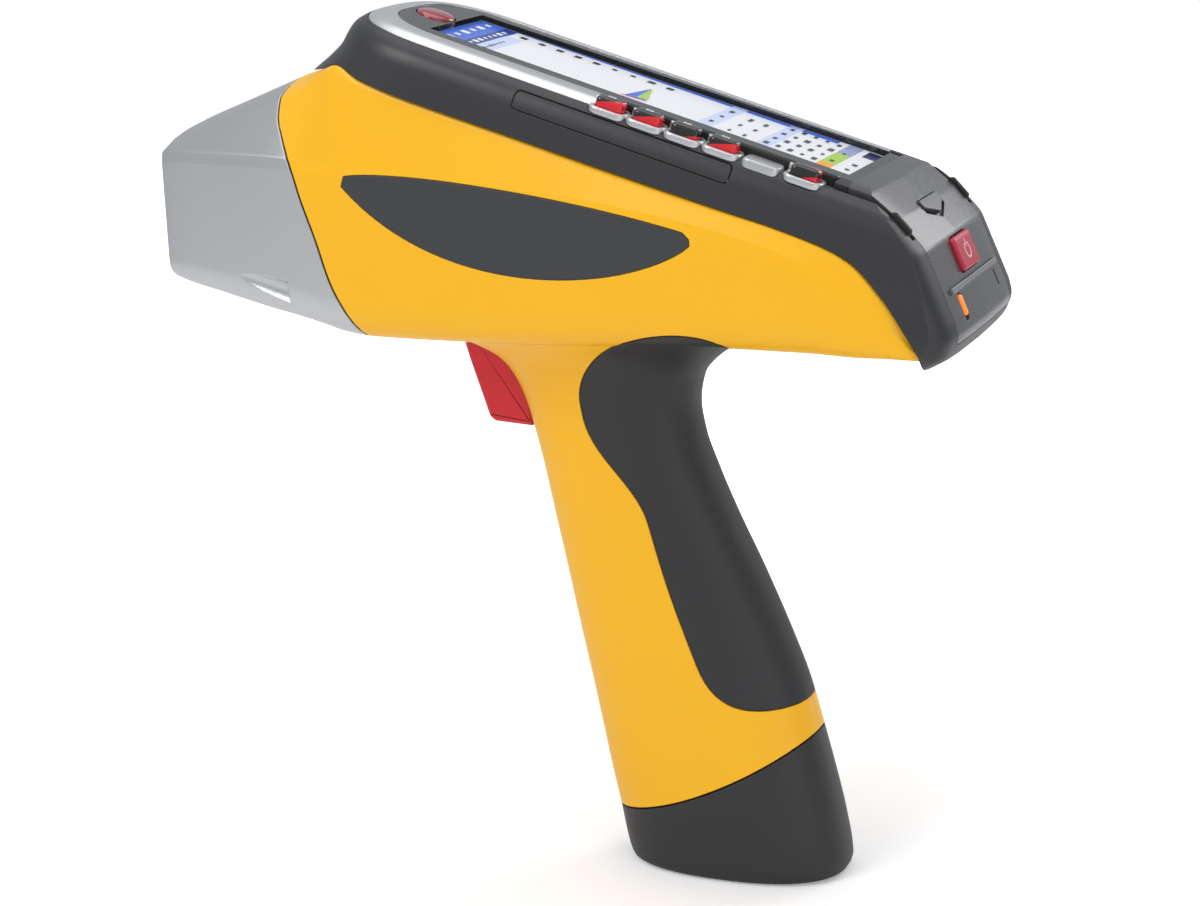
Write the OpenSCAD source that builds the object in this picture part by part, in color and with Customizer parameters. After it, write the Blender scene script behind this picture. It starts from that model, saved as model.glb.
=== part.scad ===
// Handheld X-ray fluorescence analyzer: a pistol-grip instrument that stands on its battery base.
// +X points from the nose to the rear, +Y to the operator's right, +Z up.
// The origin is on the floor, midway between the nose's front face and the rear cover.

/* [Overall] */
// Length from the nose's front face to the rear cover
overall_length = 254; // [252:1:256]
// Slope of the screen deck, falling towards the rear
deck_tilt = 17.4; // [16.8:0.1:18]

/* [Walls] */
// Wall of the moulded housing
housing_wall = 2.4; // [2.2:0.1:3]
// Wall of the cast nose
nose_wall = 1.6; // [1.6:0.1:2.4]
// Wall of the grip, with the rubber cover let into it
grip_wall = 3.8; // [3.6:0.1:4.2]
// Thickness of the rubber grip cover
rubber_wall = 1.8; // [1.4:0.1:2]
// Wall of the black cradle
cradle_wall = 3; // [2.8:0.1:3.2]

/* [Screen] */
// Length of the visible display
display_length = 133; // [130:1:133]
// Reach of the visible display to the operator's left
display_left = 23.2; // [22:0.1:23.4]
// Reach of the visible display to the operator's right
display_right = 20; // [19:0.1:21]
// Half width of the screen glass
glass_half = 24; // [23.8:0.1:24.2]
// Thickness of the screen glass
glass_thick = 1.6; // [1.2:0.1:2]

/* [Buttons] */
// Distance between neighbouring side buttons
button_pitch = 11.7; // [11.5:0.1:12]
// Length of a side button along the deck
button_length = 8.6; // [8:0.1:8.8]
// Width of a side button across the deck
button_width = 4.8; // [4.4:0.1:4.8]
// Travel of a side button
button_travel = 0.8; // [0.5:0.1:1]
// Radius of the round front button
front_button_r = 5.8; // [5.4:0.1:5.8]
// Width of the power button
power_width = 17; // [15:0.5:18]
// Height of the power button
power_height = 10; // [9:0.5:10.5]

/* [Trigger] */
// Width of the trigger
trigger_width = 11; // [10:0.5:12]
// Clearance on each side of the trigger in its slot
trigger_gap = 0.7; // [0.6:0.1:1]
// Radius of the trigger's pin
trigger_pin_r = 1.5; // [1.2:0.1:1.8]

/* [Measuring window] */
// Radius of the measuring opening
aperture_r = 8; // [6:0.5:8.5]

/* [Hidden] */

yellow = [1, 0.76, 0.04];
silver = [0.78, 0.79, 0.8];
charcoal = [0.2, 0.2, 0.21];
black = [0.09, 0.09, 0.1];
red = [0.85, 0.12, 0.16];
amber = [0.8, 0.55, 0.15];
orange = [1, 0.45, 0.1];
steel = [0.6, 0.61, 0.63];
brass = [0.8, 0.62, 0.25];
board_green = [0.1, 0.35, 0.2];
screen_blue = [0.25, 0.4, 0.75];

nose_x = -overall_length / 2;      // front face of the nose
deck_x = -35;                      // front edge of the display, on the centre line
deck_z = 257;                      // height of the glass there
big = 400;                         // longer than the whole instrument
half_gap = 0.05;                   // half the joint between the two housing halves

// ---- Shape helpers ------------------------------------------------------------------------

// Skin over a row of convex rings: the hull of each ring with the next one, end to end
module skin(rings) {
    for (i = [0:len(rings) - 2])
        let (n = len(rings[i]))
            hull() polyhedron(
                points = concat(rings[i], rings[i + 1]),
                faces = [[for (j = [0:n - 1]) j], [for (j = [0:n - 1]) j + n]]
            );
}

// One value of a table of stations, read at any place between them
function at(table, k, x) = lookup(x, [for (row = table) [row[0], row[k]]]);

// A cubic curve through its end points, drawn towards the inner two
function bezier(p, n) = [
    for (i = [0:n])
        let (s = i / n, r = 1 - s)
            r * r * r * p[0] + 3 * r * r * s * p[1] + 3 * r * s * s * p[2] + s * s * s * p[3],
];

// Side view outline, given in X and Z, from y = -half to y = half
module side_cut(outline, half = 60) {
    translate([0, half, 0]) rotate([90, 0, 0]) linear_extrude(2 * half) polygon(outline);
}

// The same, between two places along Y
module side_plate(outline, y0, y1) {
    translate([0, y1, 0]) rotate([90, 0, 0]) linear_extrude(y1 - y0) polygon(outline);
}

// Rounded rectangle, centred
module rounded(length, width, r) {
    hull() for (x = [-1, 1], y = [-1, 1])
        translate([x * (length / 2 - r), y * (width / 2 - r)]) circle(r, $fn = 24);
}

// Cylinder across the instrument through a point of its side view
module cross_rod(p, r, y0, y1) {
    translate([p[0], y1, p[1]]) rotate([90, 0, 0]) cylinder(h = y1 - y0, r = r, $fn = 48);
}

// ---- Body form ----------------------------------------------------------------------------

// Stations along X: half width and height of the top's edge, crown of the top,
// half width and height of the side crease, height and fillet of the floor
body_table = [
    [-127, 13, 221.0, 1.4, 20.5, 216.5, 183.0, 4],
    [-125.6, 15, 222.4, 2.0, 23.2, 218.5, 180.8, 5],
    [-122, 16, 223.6, 2.8, 25.2, 219.4, 179.6, 6],
    [-104, 18, 229.6, 4.0, 30.6, 220.0, 176.2, 8],
    [-85, 19.5, 236.4, 4.6, 35.2, 220.2, 172.8, 9],
    [-76, 22, 240.0, 3.9, 37.0, 219.9, 171.2, 10],
    [-67, 27, 245.2, 1.4, 38.3, 219.3, 169.4, 10],
    [-60, 32, 247.4, 0.6, 39.2, 218.8, 167.8, 10],
    [-50, 35.4, 244.0, 0.2, 40.0, 218.0, 167.0, 10],
    [-36, 36.6, 239.4, 0, 40.6, 216.6, 167.0, 10],
    [-4, 37, 229.6, 0, 41.0, 214.0, 167.2, 10],
    [38, 37.2, 216.6, 0, 41.0, 208.1, 168.6, 10],
    [60, 37.4, 210.0, 0, 41.0, 203.4, 169.2, 10],
    [79, 37.8, 204.4, 0, 40.8, 197.6, 169.0, 10],
    [97, 38.2, 197.0, 0, 40.2, 188.5, 168.9, 9],
    [107.3, 38.2, 187.1, 0, 39.8, 182.0, 169.5, 6],
    [113.9, 38, 177.8, 0, 39.2, 175.2, 169.8, 3],
    [118, 37, 171.2, 0, 38.0, 170.9, 169.9, 0.6],
];
crown_steps = 3;
fillet_steps = 4;
crease_band = 2.4;                 // height of the soft band along the side crease

// Right half of the body's section at x, drawn inwards by t, from the crown down to the floor
function half_section(x, t) =
    let (
        top_y = at(body_table, 1, x) - t,
        top_z = at(body_table, 2, x) - t,
        crown = at(body_table, 3, x),
        side_y = at(body_table, 4, x) - t,
        side_z = at(body_table, 5, x) - 0.4 * t,
        floor_z = at(body_table, 6, x) + t,
        r = max(0.6, at(body_table, 7, x) - t),
        band = max(0, min(crease_band, 0.3 * (side_z - floor_z - r)))
    ) [
        for (i = [0:crown_steps])
            let (s = i / crown_steps) [top_y * s, top_z + crown * (1 - s * s)],
        [side_y - 0.6, side_z + 0.4 * band],
        [side_y, side_z - band],
        for (i = [0:fillet_steps])
            let (a = 90 * i / fillet_steps) [side_y - r + r * cos(a), floor_z + r - r * sin(a)],
        [0, floor_z],
    ];

// Whole section ring: the right half, then its mirror image back up to the crown
function section(x, t) =
    let (half = half_section(x, t), n = len(half)) [
        for (p = half) [x, p[0], p[1]],
        for (i = [n - 2:-1:1]) [x, -half[i][0], half[i][1]],
    ];

// Outer form of nose and housing in one, drawn inwards by t
module body_form(t = 0) {
    skin([for (row = body_table) section(row[0], t)]);
}

// Seam between the nose and the housing, from below the floor to above the top
seam_line = [
    [-46, 156], [-51.8, 167.4], [-57, 176], [-61.6, 184.4], [-66, 197.2], [-70.4, 208.8],
    [-74, 219.6], [-78.8, 226.4], [-82.6, 231], [-84.6, 236], [-86.5, 246],
];
function shifted(line, d) = [for (p = line) [p[0] + d, p[1]]];
module ahead_of_seam(d) {
    side_cut(concat(shifted(seam_line, d), [[-150, 246], [-150, 156]]));
}
module behind_seam(d) {
    side_cut(concat(shifted(seam_line, d), [[-86.5, 300], [150, 300], [150, 156]]));
}

// Line where the cradle meets the housing, from the front of the cradle to its rear foot
boundary_line = [
    for (row = body_table) if (row[0] >= -60) let (x = row[0] + 0.7) [x, at(body_table, 2, x)],
];
module above_boundary() {
    side_cut(concat(
        [[-100, 220], [-85, 232], [-67, 243.5]], boundary_line,
        [[119, 150], [150, 150], [150, 300], [-100, 300]]
    ));
}

// ---- Grip form ----------------------------------------------------------------------------

// Stations up Z: front edge, rear edge, half width
grip_table = [
    [0, 17.0, 80.2, 18.0],
    [1.2, 14.8, 82.9, 19.9],
    [4, 13.7, 84.1, 20.7],
    [18, 10.9, 82.1, 20.5],
    [30, 8.3, 79.4, 20.1],
    [45, 5.4, 75.6, 19.4],
    [60, 2.4, 71.5, 18.8],
    [74, -0.5, 66.2, 18.3],
    [93, -4.2, 58.0, 17.7],
    [110, -7.6, 49.9, 17.3],
    [124, -10.3, 43.9, 17.2],
    [135, -12.8, 40.0, 17.4],
    [144, -15.2, 38.6, 17.8],
    [153, -19.4, 40.2, 19.0],
    [158.4, -24.5, 44.6, 20.8],
    [162, -31.5, 49.5, 23.4],
    [166, -40, 56.0, 28.0],
    [171, -44, 64.0, 33.0],
];
grip_sides = 28;
grip_power = 2 / 2.4;              // exponent of the grip's rounded oval section

function power(v, p) = sign(v) * pow(abs(v), p);
function oval(x0, x1, half, z) = [
    for (i = [0:grip_sides - 1])
        let (a = 360 * i / grip_sides) [
            (x0 + x1) / 2 + (x1 - x0) / 2 * power(cos(a), grip_power),
            half * power(sin(a), grip_power),
            z,
        ],
];

// Outer form of the grip and the battery base, drawn inwards by t
module grip_form(t = 0) {
    skin([for (row = grip_table) oval(row[1] + t, row[2] - t, row[3] - t, row[0])]);
}

// Line between the grip and the battery base, rising to the rear
base_line = bezier([[4, 15.5], [30, 20.2], [52, 27.8], [90, 56]], 8);
function raised(line, d) = [for (p = line) [p[0], p[1] + d]];
module above_base(d) {
    side_cut(concat(raised(base_line, d), [[90, 200], [-80, 200], [-80, 15.5 + d]]));
}
module below_base(d) {
    side_cut(concat(raised(base_line, d), [[90, -5], [-80, -5], [-80, 15.5 + d]]));
}

// ---- Deck and cradle forms ------------------------------------------------------------------

// The sloping deck's own frame: X down the slope to the rear, Z out of the glass
module on_deck() {
    translate([deck_x, 0, deck_z]) rotate([0, deck_tilt, 0]) children();
}

front_centre = 12;                 // where the deck's rounded front end begins, along the deck
deck_power = 0.7;                  // exponent of its full, blunt curve
deck_end = 200;                    // past the rear of the instrument, along the deck

// Plan of the deck at one level: a rounded front end that reaches to front, and straight sides
function deck_plan(front, half, rear = deck_end) = [
    for (a = [-90:12:90]) [
        front_centre - (front_centre - front) * power(cos(a), deck_power),
        half * power(sin(a), deck_power),
    ],
    [rear, half], [rear, -half],
];

// Levels of the cradle: height over the glass, reach of the front end, half width
cradle_levels = [
    [-52, -46, 44.0], [-25, -36, 39.4], [-17, -30.5, 37.8], [-12, -27.6, 37.2], [-8, -26.5, 36.6],
    [-5.2, -25.4, 35.6], [-3.4, -23.8, 34.2], [-2.4, -22.6, 32.8], [-1.1, -20.4, 30.8],
    [-0.2, -17.6, 28.4], [0.3, -14.8, 25.6],
];
module deck_form(t) {
    on_deck() skin([
        for (level = cradle_levels)
            [for (p = deck_plan(level[1] + t, level[2] - t)) [p[0], p[1], level[0] - t]],
    ]);
}

// Side view of the rear end on the centre line: deck, crest, rear face and foot
rear_line = [
    [-110, 283], [92, 219.4], [101.6, 214.8], [110.4, 207.4], [117.6, 199.2], [125.9, 179],
    [127, 174.5], [124.8, 169], [119.4, 166], [-110, 166],
];
rear_centre = [70, 188];

// How far the rear end draws in from its centre line at each half width
rear_stations = [[0, 0], [20, 0.3], [30, 0.8], [34, 1.3], [37, 2.4], [40.5, 6.5]];
function drawn_in(p, d) = let (v = rear_centre - p) p + d * v / norm(v);
function rear_ring(y, d) = [for (p = rear_line) let (q = drawn_in(p, d)) [q[0], y, q[1]]];
module rear_form(t) {
    last = len(rear_stations) - 1;
    skin([
        for (i = [-last:last])
            rear_ring(sign(i) * rear_stations[abs(i)][0], rear_stations[abs(i)][1] + t),
    ]);
}

// Outer form of the cradle: rounded front end, shoulder, sides and rear, drawn inwards by t
module cradle_form(t = 0) {
    intersection() {
        deck_form(t);
        rear_form(t);
    }
}

// The rear face's own frame: X down the face, Z out of it
rear_tilt = 67.7;
rear_face = [119.87, 193.63];
module on_rear(y = 0, down = 0) {
    translate([rear_face[0], y, rear_face[1]]) rotate([0, rear_tilt, 0]) translate([down, 0, 0]) children();
}

// ---- Nose ---------------------------------------------------------------------------------

window_recess = 2.4;
window_half_y = 15;
window_half_z = 12.5;
window_mid = 200.5;
window_screws_at = [for (y = [-1, 1], z = [-1, 1]) [y * 11.6, window_mid + z * 9.1]];
window_head_r = 2;
window_thread_r = 1;

// The nose's front frame: X down, Z forwards out of the nose
module on_front(y = 0, z = window_mid, depth = 0) {
    translate([nose_x + depth, y, z]) rotate([0, -90, 0]) children();
}
module front_pad(d, depth) {
    on_front(depth = depth) linear_extrude(depth) rounded(2 * window_half_z + 2 * d, 2 * window_half_y + 2 * d, 4);
}

// Long scoops low on both sides of the nose, deepening to the rear, grown by d
scoop_start = [-101, 185.6];
scoop_end = [-77, 180];
module scoop(side, d = 0) {
    skin([
        for (s = [0, 0.35, 1])
            let (
                x = scoop_start[0] + s * (scoop_end[0] + d - scoop_start[0]),
                z = scoop_start[1] + s * (scoop_end[1] - scoop_start[1]),
                y = side * (at(body_table, 4, x) + 3 - 0.4 * s),
                r = 2.4 + 2.4 * s + d
            ) [for (a = [0:30:330]) [x, y + r * cos(a), z + r * sin(a)]],
    ]);
}

module nose_shell() {
    color(silver) difference() {
        intersection() {
            body_form();
            ahead_of_seam(-0.4);
        }
        difference() {
            intersection() {
                body_form(nose_wall);
                translate([nose_x + window_recess + 2, -50, 150]) cube([120, 100, 110]);
            }
            for (side = [-1, 1]) scoop(side, nose_wall);
        }
        front_pad(0.1, window_recess);
        on_front(depth = 10) cylinder(h = 10, r = aperture_r + 1.2, $fn = 48);
        for (p = window_screws_at) on_front(p[0], p[1], 10) cylinder(h = 10, r = window_thread_r + 0.1, $fn = 24);
        for (side = [-1, 1]) scoop(side);
    }
}

// Thin dark seal along the seam between nose and housing
module nose_gasket() {
    color(black) difference() {
        intersection() {
            body_form(0.5);
            behind_seam(-0.35);
            ahead_of_seam(0.35);
        }
        body_form(nose_wall);
    }
}

module window_plate() {
    color(charcoal) difference() {
        on_front(depth = window_recess - 0.4)
            linear_extrude(window_recess - 0.4) rounded(2 * window_half_z, 2 * window_half_y, 4);
        on_front(depth = 5) cylinder(h = 6, r = aperture_r, $fn = 64);
        for (p = window_screws_at) {
            on_front(p[0], p[1], 5) cylinder(h = 6, r = window_thread_r + 0.2, $fn = 24);
            on_front(p[0], p[1], 1.2) cylinder(h = 3, r = window_head_r + 0.2, $fn = 32);
        }
    }
}

module window_film() {
    color(amber) on_front(depth = window_recess - 0.05) cylinder(h = 0.3, r = aperture_r + 1, $fn = 64);
}

module window_screws() {
    color(steel) for (p = window_screws_at) {
        difference() {
            on_front(p[0], p[1], 1.2) cylinder(h = 1.1, r = window_head_r, $fn = 32);
            on_front(p[0], p[1], 0.7) cylinder(h = 2, r = 0.9, $fn = 6);
        }
        on_front(p[0], p[1], 4.2) cylinder(h = 3.2, r = window_thread_r, $fn = 24);
    }
}

// ---- Housing --------------------------------------------------------------------------------

trigger_pivot = [-31, 173.5];
slot_half = trigger_width / 2 + trigger_gap;
trigger_slot = [[-42, 160], [-33, 150], [-26, 131], [-6, 131], [-6, 150], [-12, 171], [-42, 171]];

// Side view of the rubber cover, which wraps round the grip's back
cover_line = concat(
    bezier([[64.5, 167], [60, 175.6], [44, 176], [30, 170.4]], 6),
    bezier([[26.5, 168.8], [14, 163], [6.8, 155], [8.1, 146]], 5),
    bezier([[8.7, 142], [11.5, 129.5], [24.5, 123], [28, 110.8]], 5),
    bezier([[28.8, 108], [34.4, 88], [38, 80], [42.6, 68]], 4),
    bezier([[43.8, 65.4], [50, 53], [61, 54], [73, 55.8]], 4),
    [[92, 57], [92, 167]]
);
cover_seat = 1.2;                  // depth of the cover's seat in the body's lower edge

// Bare leaf-shaped plate on the operator's left side
badge_line = concat(
    bezier([[-54.6, 216.4], [-36, 219], [16, 212.6], [50.6, 203.6]], 8),
    [[52.6, 201.6], [52.4, 199.6]],
    bezier([[50.4, 198.4], [30, 185.4], [-24, 181.4], [-55.6, 213.4]], 8)
);
badge_inlay = 1;
module badge_prism(d = 0) {
    translate([0, -30, 0]) rotate([90, 0, 0]) linear_extrude(20) offset(delta = d) polygon(badge_line);
}

// Screws that close the two halves: places in the side view
screw_points = [[-47, 175.4], [99, 175.6], [13, 104]];
screw_r = 1.4;
screw_head_r = 2.8;
screw_head_at = 8;                 // seat of the screws' heads, from the middle of the instrument

module housing_solid() {
    intersection() {
        body_form();
        behind_seam(0.4);
    }
    intersection() {
        grip_form();
        above_base(0.3);
    }
}

// The hollow body and grip, before they are split down the middle
module housing() {
    difference() {
        housing_solid();
        body_form(housing_wall);
        grip_form(grip_wall);
        // the top is open where the cradle covers it
        side_plate(concat(
            [[-38, 300], [-38, 235.3]],
            [for (p = boundary_line) if (p[0] > -38 && p[0] < 110) p - [0, 5]],
            [[112, 172], [130, 172], [130, 300]]
        ), -33, 33);
        difference() {
            side_cut(cover_line);
            grip_form(rubber_wall);
            body_form(cover_seat);
        }
        side_cut(trigger_slot, slot_half);
    }
}

// Screw tower from the middle of the instrument out to the wall on one side
module tower(p, side, r) {
    intersection() {
        cross_rod(p, r, side < 0 ? -60 : half_gap, side < 0 ? -half_gap : 60);
        union() {
            body_form(1);
            grip_form(1);
        }
    }
}

// Boss on the wall that holds one end of the trigger's pin
pin_reach = 16;
module pin_boss(side) {
    intersection() {
        cross_rod(trigger_pivot, 4, side < 0 ? -60 : slot_half, side < 0 ? -slot_half : 60);
        body_form(1);
    }
}

module half_space(side) {
    translate([-big / 2, side < 0 ? -100 - half_gap : half_gap, -1]) cube([big, 100, big]);
}

module housing_left() {
    color(yellow) difference() {
        union() {
            intersection() {
                housing();
                half_space(-1);
            }
            for (p = screw_points) tower(p, -1, 4);
            pin_boss(-1);
        }
        for (p = screw_points) cross_rod(p, screw_r + 0.1, -14, 1);
        cross_rod(trigger_pivot, trigger_pin_r + 0.05, -pin_reach - 0.2, 0);
        difference() {
            badge_prism(0.15);
            body_form(badge_inlay + 0.05);
        }
    }
}

module housing_right() {
    color(yellow) difference() {
        union() {
            intersection() {
                housing();
                half_space(1);
            }
            for (p = screw_points) tower(p, 1, 4.6);
            pin_boss(1);
        }
        cross_rod(trigger_pivot, trigger_pin_r + 0.05, 0, pin_reach + 0.2);
        for (p = screw_points) {
            cross_rod(p, screw_r + 0.3, -1, 60);
            cross_rod(p, screw_head_r + 0.3, screw_head_at, 60);
        }
    }
}

module housing_screws() {
    color(steel) for (p = screw_points) {
        cross_rod(p, screw_r, -13.5, screw_head_at + 0.1);
        difference() {
            cross_rod(p, screw_head_r, screw_head_at, screw_head_at + 2.6);
            translate([p[0], screw_head_at + 4, p[1]]) rotate([90, 0, 0]) cylinder(h = 2.6, r = 1.3, $fn = 6);
        }
    }
}

module side_badge() {
    color(charcoal) difference() {
        intersection() {
            badge_prism();
            body_form();
        }
        body_form(badge_inlay);
    }
}

module grip_cover() {
    color(charcoal) difference() {
        intersection() {
            union() {
                grip_form();
                body_form();
            }
            offset_cover();
        }
        grip_form(rubber_wall - 0.05);
        body_form(cover_seat - 0.05);
    }
}
module offset_cover() {
    translate([0, 60, 0]) rotate([90, 0, 0]) linear_extrude(120) offset(delta = -0.2) polygon(cover_line);
}

// ---- Deck ---------------------------------------------------------------------------------

glass_front = -14.4;
glass_rear = 136.4;
bezel_rear = 132.4;
bezel_low = -3.6;
// Levels of the bezel's outward slope: height over the glass, reach of the front end, half width
bezel_levels = [[bezel_low, -22.2, 31.8], [-2.3, -22.2, 31.8], [-1.1, -20.2, 30.4], [-0.2, -17.6, 28.4], [0.3, -15.2, 25.6]];
button_y = -30.3;
button_gap = 0.35;
frame_border = 1.6;                // border of the bezel round each side button
frame_high = -0.5;                 // its height over the glass
first_button = 64.6;
last_button = 124.4;
button_places = [for (i = [0:3]) first_button + i * button_pitch, last_button];
front_button_at = -6.5;

module button_plan(d) {
    rounded(button_length + 2 * d, button_width + 2 * d, 1.6 + d);
}
// Scalloped plan of the bezel's outer edge, grown by d
module bezel_plan(d = 0) {
    polygon(deck_plan(bezel_levels[0][1] - d, bezel_levels[0][2] + d, bezel_rear + d));
    for (u = button_places) translate([u, button_y]) button_plan(frame_border + d);
}

module bezel() {
    color(silver) on_deck() difference() {
        union() {
            skin([
                for (level = bezel_levels)
                    [for (p = deck_plan(level[1], level[2], bezel_rear)) [p[0], p[1], level[0]]],
            ]);
            for (u = button_places) translate([u, button_y, bezel_low])
                linear_extrude(frame_high - bezel_low) button_plan(frame_border);
        }
        translate([0, 0, bezel_low - 1]) linear_extrude(8) polygon(deck_plan(glass_front - 0.15, glass_half + 0.15));
        for (u = button_places) translate([u, button_y, bezel_low - 1]) linear_extrude(8) button_plan(button_gap);
    }
}

module screen_glass() {
    color(black) on_deck() difference() {
        translate([0, 0, -glass_thick])
            linear_extrude(glass_thick) polygon(deck_plan(glass_front, glass_half, glass_rear));
        translate([front_button_at, 0, -5]) cylinder(h = 10, r = front_button_r + 0.4, $fn = 64);
    }
}

display_thick = 1.8;
module display_panel() {
    color(screen_blue) on_deck() translate([0, -display_left, -glass_thick - display_thick])
        cube([display_length, display_left + display_right, display_thick]);
}

computer_low = -12.8;
module handheld_computer() {
    color(black) on_deck() difference() {
        translate([12, -24, computer_low]) cube([119, 48, -computer_low - glass_thick - display_thick]);
        translate([30, -20, computer_low - 1]) cube([60, 40, 3]);
    }
}

// Side buttons: a red base with a raised cap in one
button_foot = -3.2;
button_rim = 0.1;
module side_button(i) {
    color(red) on_deck() translate([button_places[i], button_y, 0]) {
        translate([0, 0, button_foot]) linear_extrude(button_rim - button_foot) button_plan(0);
        translate([0, 0, button_rim - 0.1]) linear_extrude(0.7) button_plan(-0.7);
    }
}
module side_button_1() { side_button(0); }
module side_button_2() { side_button(1); }
module side_button_3() { side_button(2); }
module side_button_4() { side_button(3); }
module side_button_5() { side_button(4); }

module front_button() {
    color(red) on_deck() translate([front_button_at, 0, 0]) {
        translate([0, 0, -3.2]) cylinder(h = 3.1, r = front_button_r, $fn = 64);
        translate([0, 0, -0.2]) cylinder(h = 0.6, r = front_button_r - 0.8, $fn = 64);
    }
}

// ---- Cradle and rear ------------------------------------------------------------------------

cover_half = 29;
cover_depth = 2.2;
cover_region = [[93.5, 205], [97.5, 230], [140, 230], [140, 173.2], [112, 173.2]];
latch_y = 9;
port_start = 38;                   // the side flap's ends, along the deck
port_end = 105;
port_low = -9;                     // its lower and upper edges
port_high = -4.1;
port_bend = -5.2;                  // where the flap bends over the shoulder
port_thick = 1.4;
port_gap = 0.3;
port_barrel_r = 0.75;
port_pin_r = 0.4;

// Half width of the cradle at a height over the glass
function side_at(w) = lookup(w, [for (level = cradle_levels) [level[0], level[2]]]);
port_axis = [side_at(port_low + port_barrel_r) - port_barrel_r, port_low + port_barrel_r];

// Prism along the operator's left side of the deck, from an outline of half widths and heights
module along_deck(outline, u0, u1) {
    on_deck() translate([u0, 0, 0]) rotate([90, 0, 90]) mirror([1, 0, 0])
        linear_extrude(u1 - u0) polygon(outline);
}
module port_rod(r, u0, u1) {
    on_deck() translate([u0, -port_axis[0], port_axis[1]]) rotate([0, 90, 0])
        cylinder(h = u1 - u0, r = r, $fn = 32);
}

// The rear cover's share of the outer skin, grown by d at its edges and reaching depth inwards
module cover_skin(d, depth) {
    difference() {
        intersection() {
            cradle_form(d > 0 ? -1 : 0);
            side_plate([for (p = cover_region) p + [p[0] < 120 ? -d : 0, p[1] < 180 ? -d : 0]], -cover_half - d, cover_half + d);
        }
        cradle_form(depth);
    }
}

module cradle() {
    color(charcoal) difference() {
        intersection() {
            cradle_form();
            above_boundary();
        }
        cradle_form(cradle_wall);
        body_form(-0.12);
        // seat of bezel and glass
        on_deck() {
            translate([0, 0, bezel_low - 0.1]) linear_extrude(10) bezel_plan(0.15);
            translate([0, 0, -glass_thick - 0.1]) linear_extrude(10)
                polygon(deck_plan(glass_front - 0.2, glass_half + 0.2, glass_rear + 0.2));
            // well of the handheld computer, and room under the side buttons
            translate([0, 0, -20]) linear_extrude(30) polygon(deck_plan(-14, 26.8, 133));
            for (u = button_places) translate([u, button_y, -6]) linear_extrude(10) button_plan(button_gap);
        }
        cover_skin(0.2, cover_depth + 0.1);
        port_rod(port_pin_r + 0.04, port_start - 1.1, port_end + 1.1);
        along_deck([
            [50, port_low - port_gap], [50, port_high + port_gap],
            [side_at(port_high) - port_thick - port_gap, port_high + port_gap],
            [side_at(port_low) - port_thick - port_gap, port_low - port_gap],
        ], port_start - port_gap, port_end + port_gap);
        // grooves beside the rear cover
        for (side = [-1, 1]) difference() {
            side_plate([[90, 190], [90, 240], [140, 240], [112, 199], [108, 190]],
                side < 0 ? -cover_half - 2.6 : cover_half + 0.1, side < 0 ? -cover_half - 0.1 : cover_half + 2.6);
            cradle_form(2.4);
        }
    }
}

// Flap over the sockets, with a full round barrel along its lower edge
module port_cover() {
    color(charcoal) difference() {
        union() {
            along_deck([
                [side_at(port_axis[1]), port_axis[1]], [side_at(port_bend), port_bend], [side_at(port_high), port_high],
                [side_at(port_high) - port_thick, port_high],
                [side_at(port_axis[1]) - port_thick, port_axis[1] + 0.4],
                [port_axis[0], port_axis[1]],
            ], port_start, port_end);
            port_rod(port_barrel_r, port_start, port_end);
        }
        port_rod(port_pin_r + 0.04, port_start - 1, port_end + 1);
    }
}

module port_pin() {
    color(steel) port_rod(port_pin_r, port_start - 0.8, port_end + 0.8);
}

latch_centre = [111.4, 206.4];
latch_travel = 1.2;
module latch_plan(d) {
    polygon([[-3.2 - d, -latch_y - d], [-0.6, -latch_y - d], [2.6 + d, 0], [-0.6, latch_y + d], [-3.2 - d, latch_y + d]]);
}
module on_crest() {
    translate([latch_centre[0], 0, latch_centre[1]]) rotate([0, 44.3, 0]) children();
}

lamp_y = -18;
slot_y = 20;
module rear_cover() {
    color(charcoal) difference() {
        cover_skin(0, cover_depth);
        on_rear() translate([0, 0, -6]) linear_extrude(12) rounded(power_height + 0.8, power_width + 0.8, 2);
        on_rear(down = 7.6) translate([-0.9, -24.2, -1]) cube([1.8, 48.4, 6]);
        on_rear(lamp_y, 13) translate([0, 0, -6]) linear_extrude(12) rounded(8.2, 3.2, 1.5);
        on_rear(slot_y, 12) translate([0, 0, -1.2]) linear_extrude(12) rounded(5, 1.2, 0.55);
        // pocket of the latch, with room for its travel
        on_crest() translate([0, 0, -1.3]) linear_extrude(12) hull() {
            latch_plan(0.35);
            translate([latch_travel, 0]) latch_plan(0.35);
        }
    }
}

module cover_latch() {
    color(black) on_crest() translate([0, 0, -1.1]) linear_extrude(2.3) latch_plan(0);
}

module power_button() {
    color(red) on_rear() {
        translate([0, 0, -1.2]) linear_extrude(1.9) rounded(power_height, power_width, 1.8);
        translate([0, 0, 0.6]) linear_extrude(0.5) rounded(power_height - 1.4, power_width - 1.4, 1.4);
    }
}

module light_bar() {
    color(silver) on_rear(down = 7.6) translate([-0.8, -24, -0.9]) cube([1.6, 48, 1.5]);
}

module status_lamp() {
    color(orange) on_rear(lamp_y, 13) translate([0, 0, -1.6]) linear_extrude(1.7) rounded(5, 2.6, 1.25);
}

// ---- Trigger --------------------------------------------------------------------------------

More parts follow.
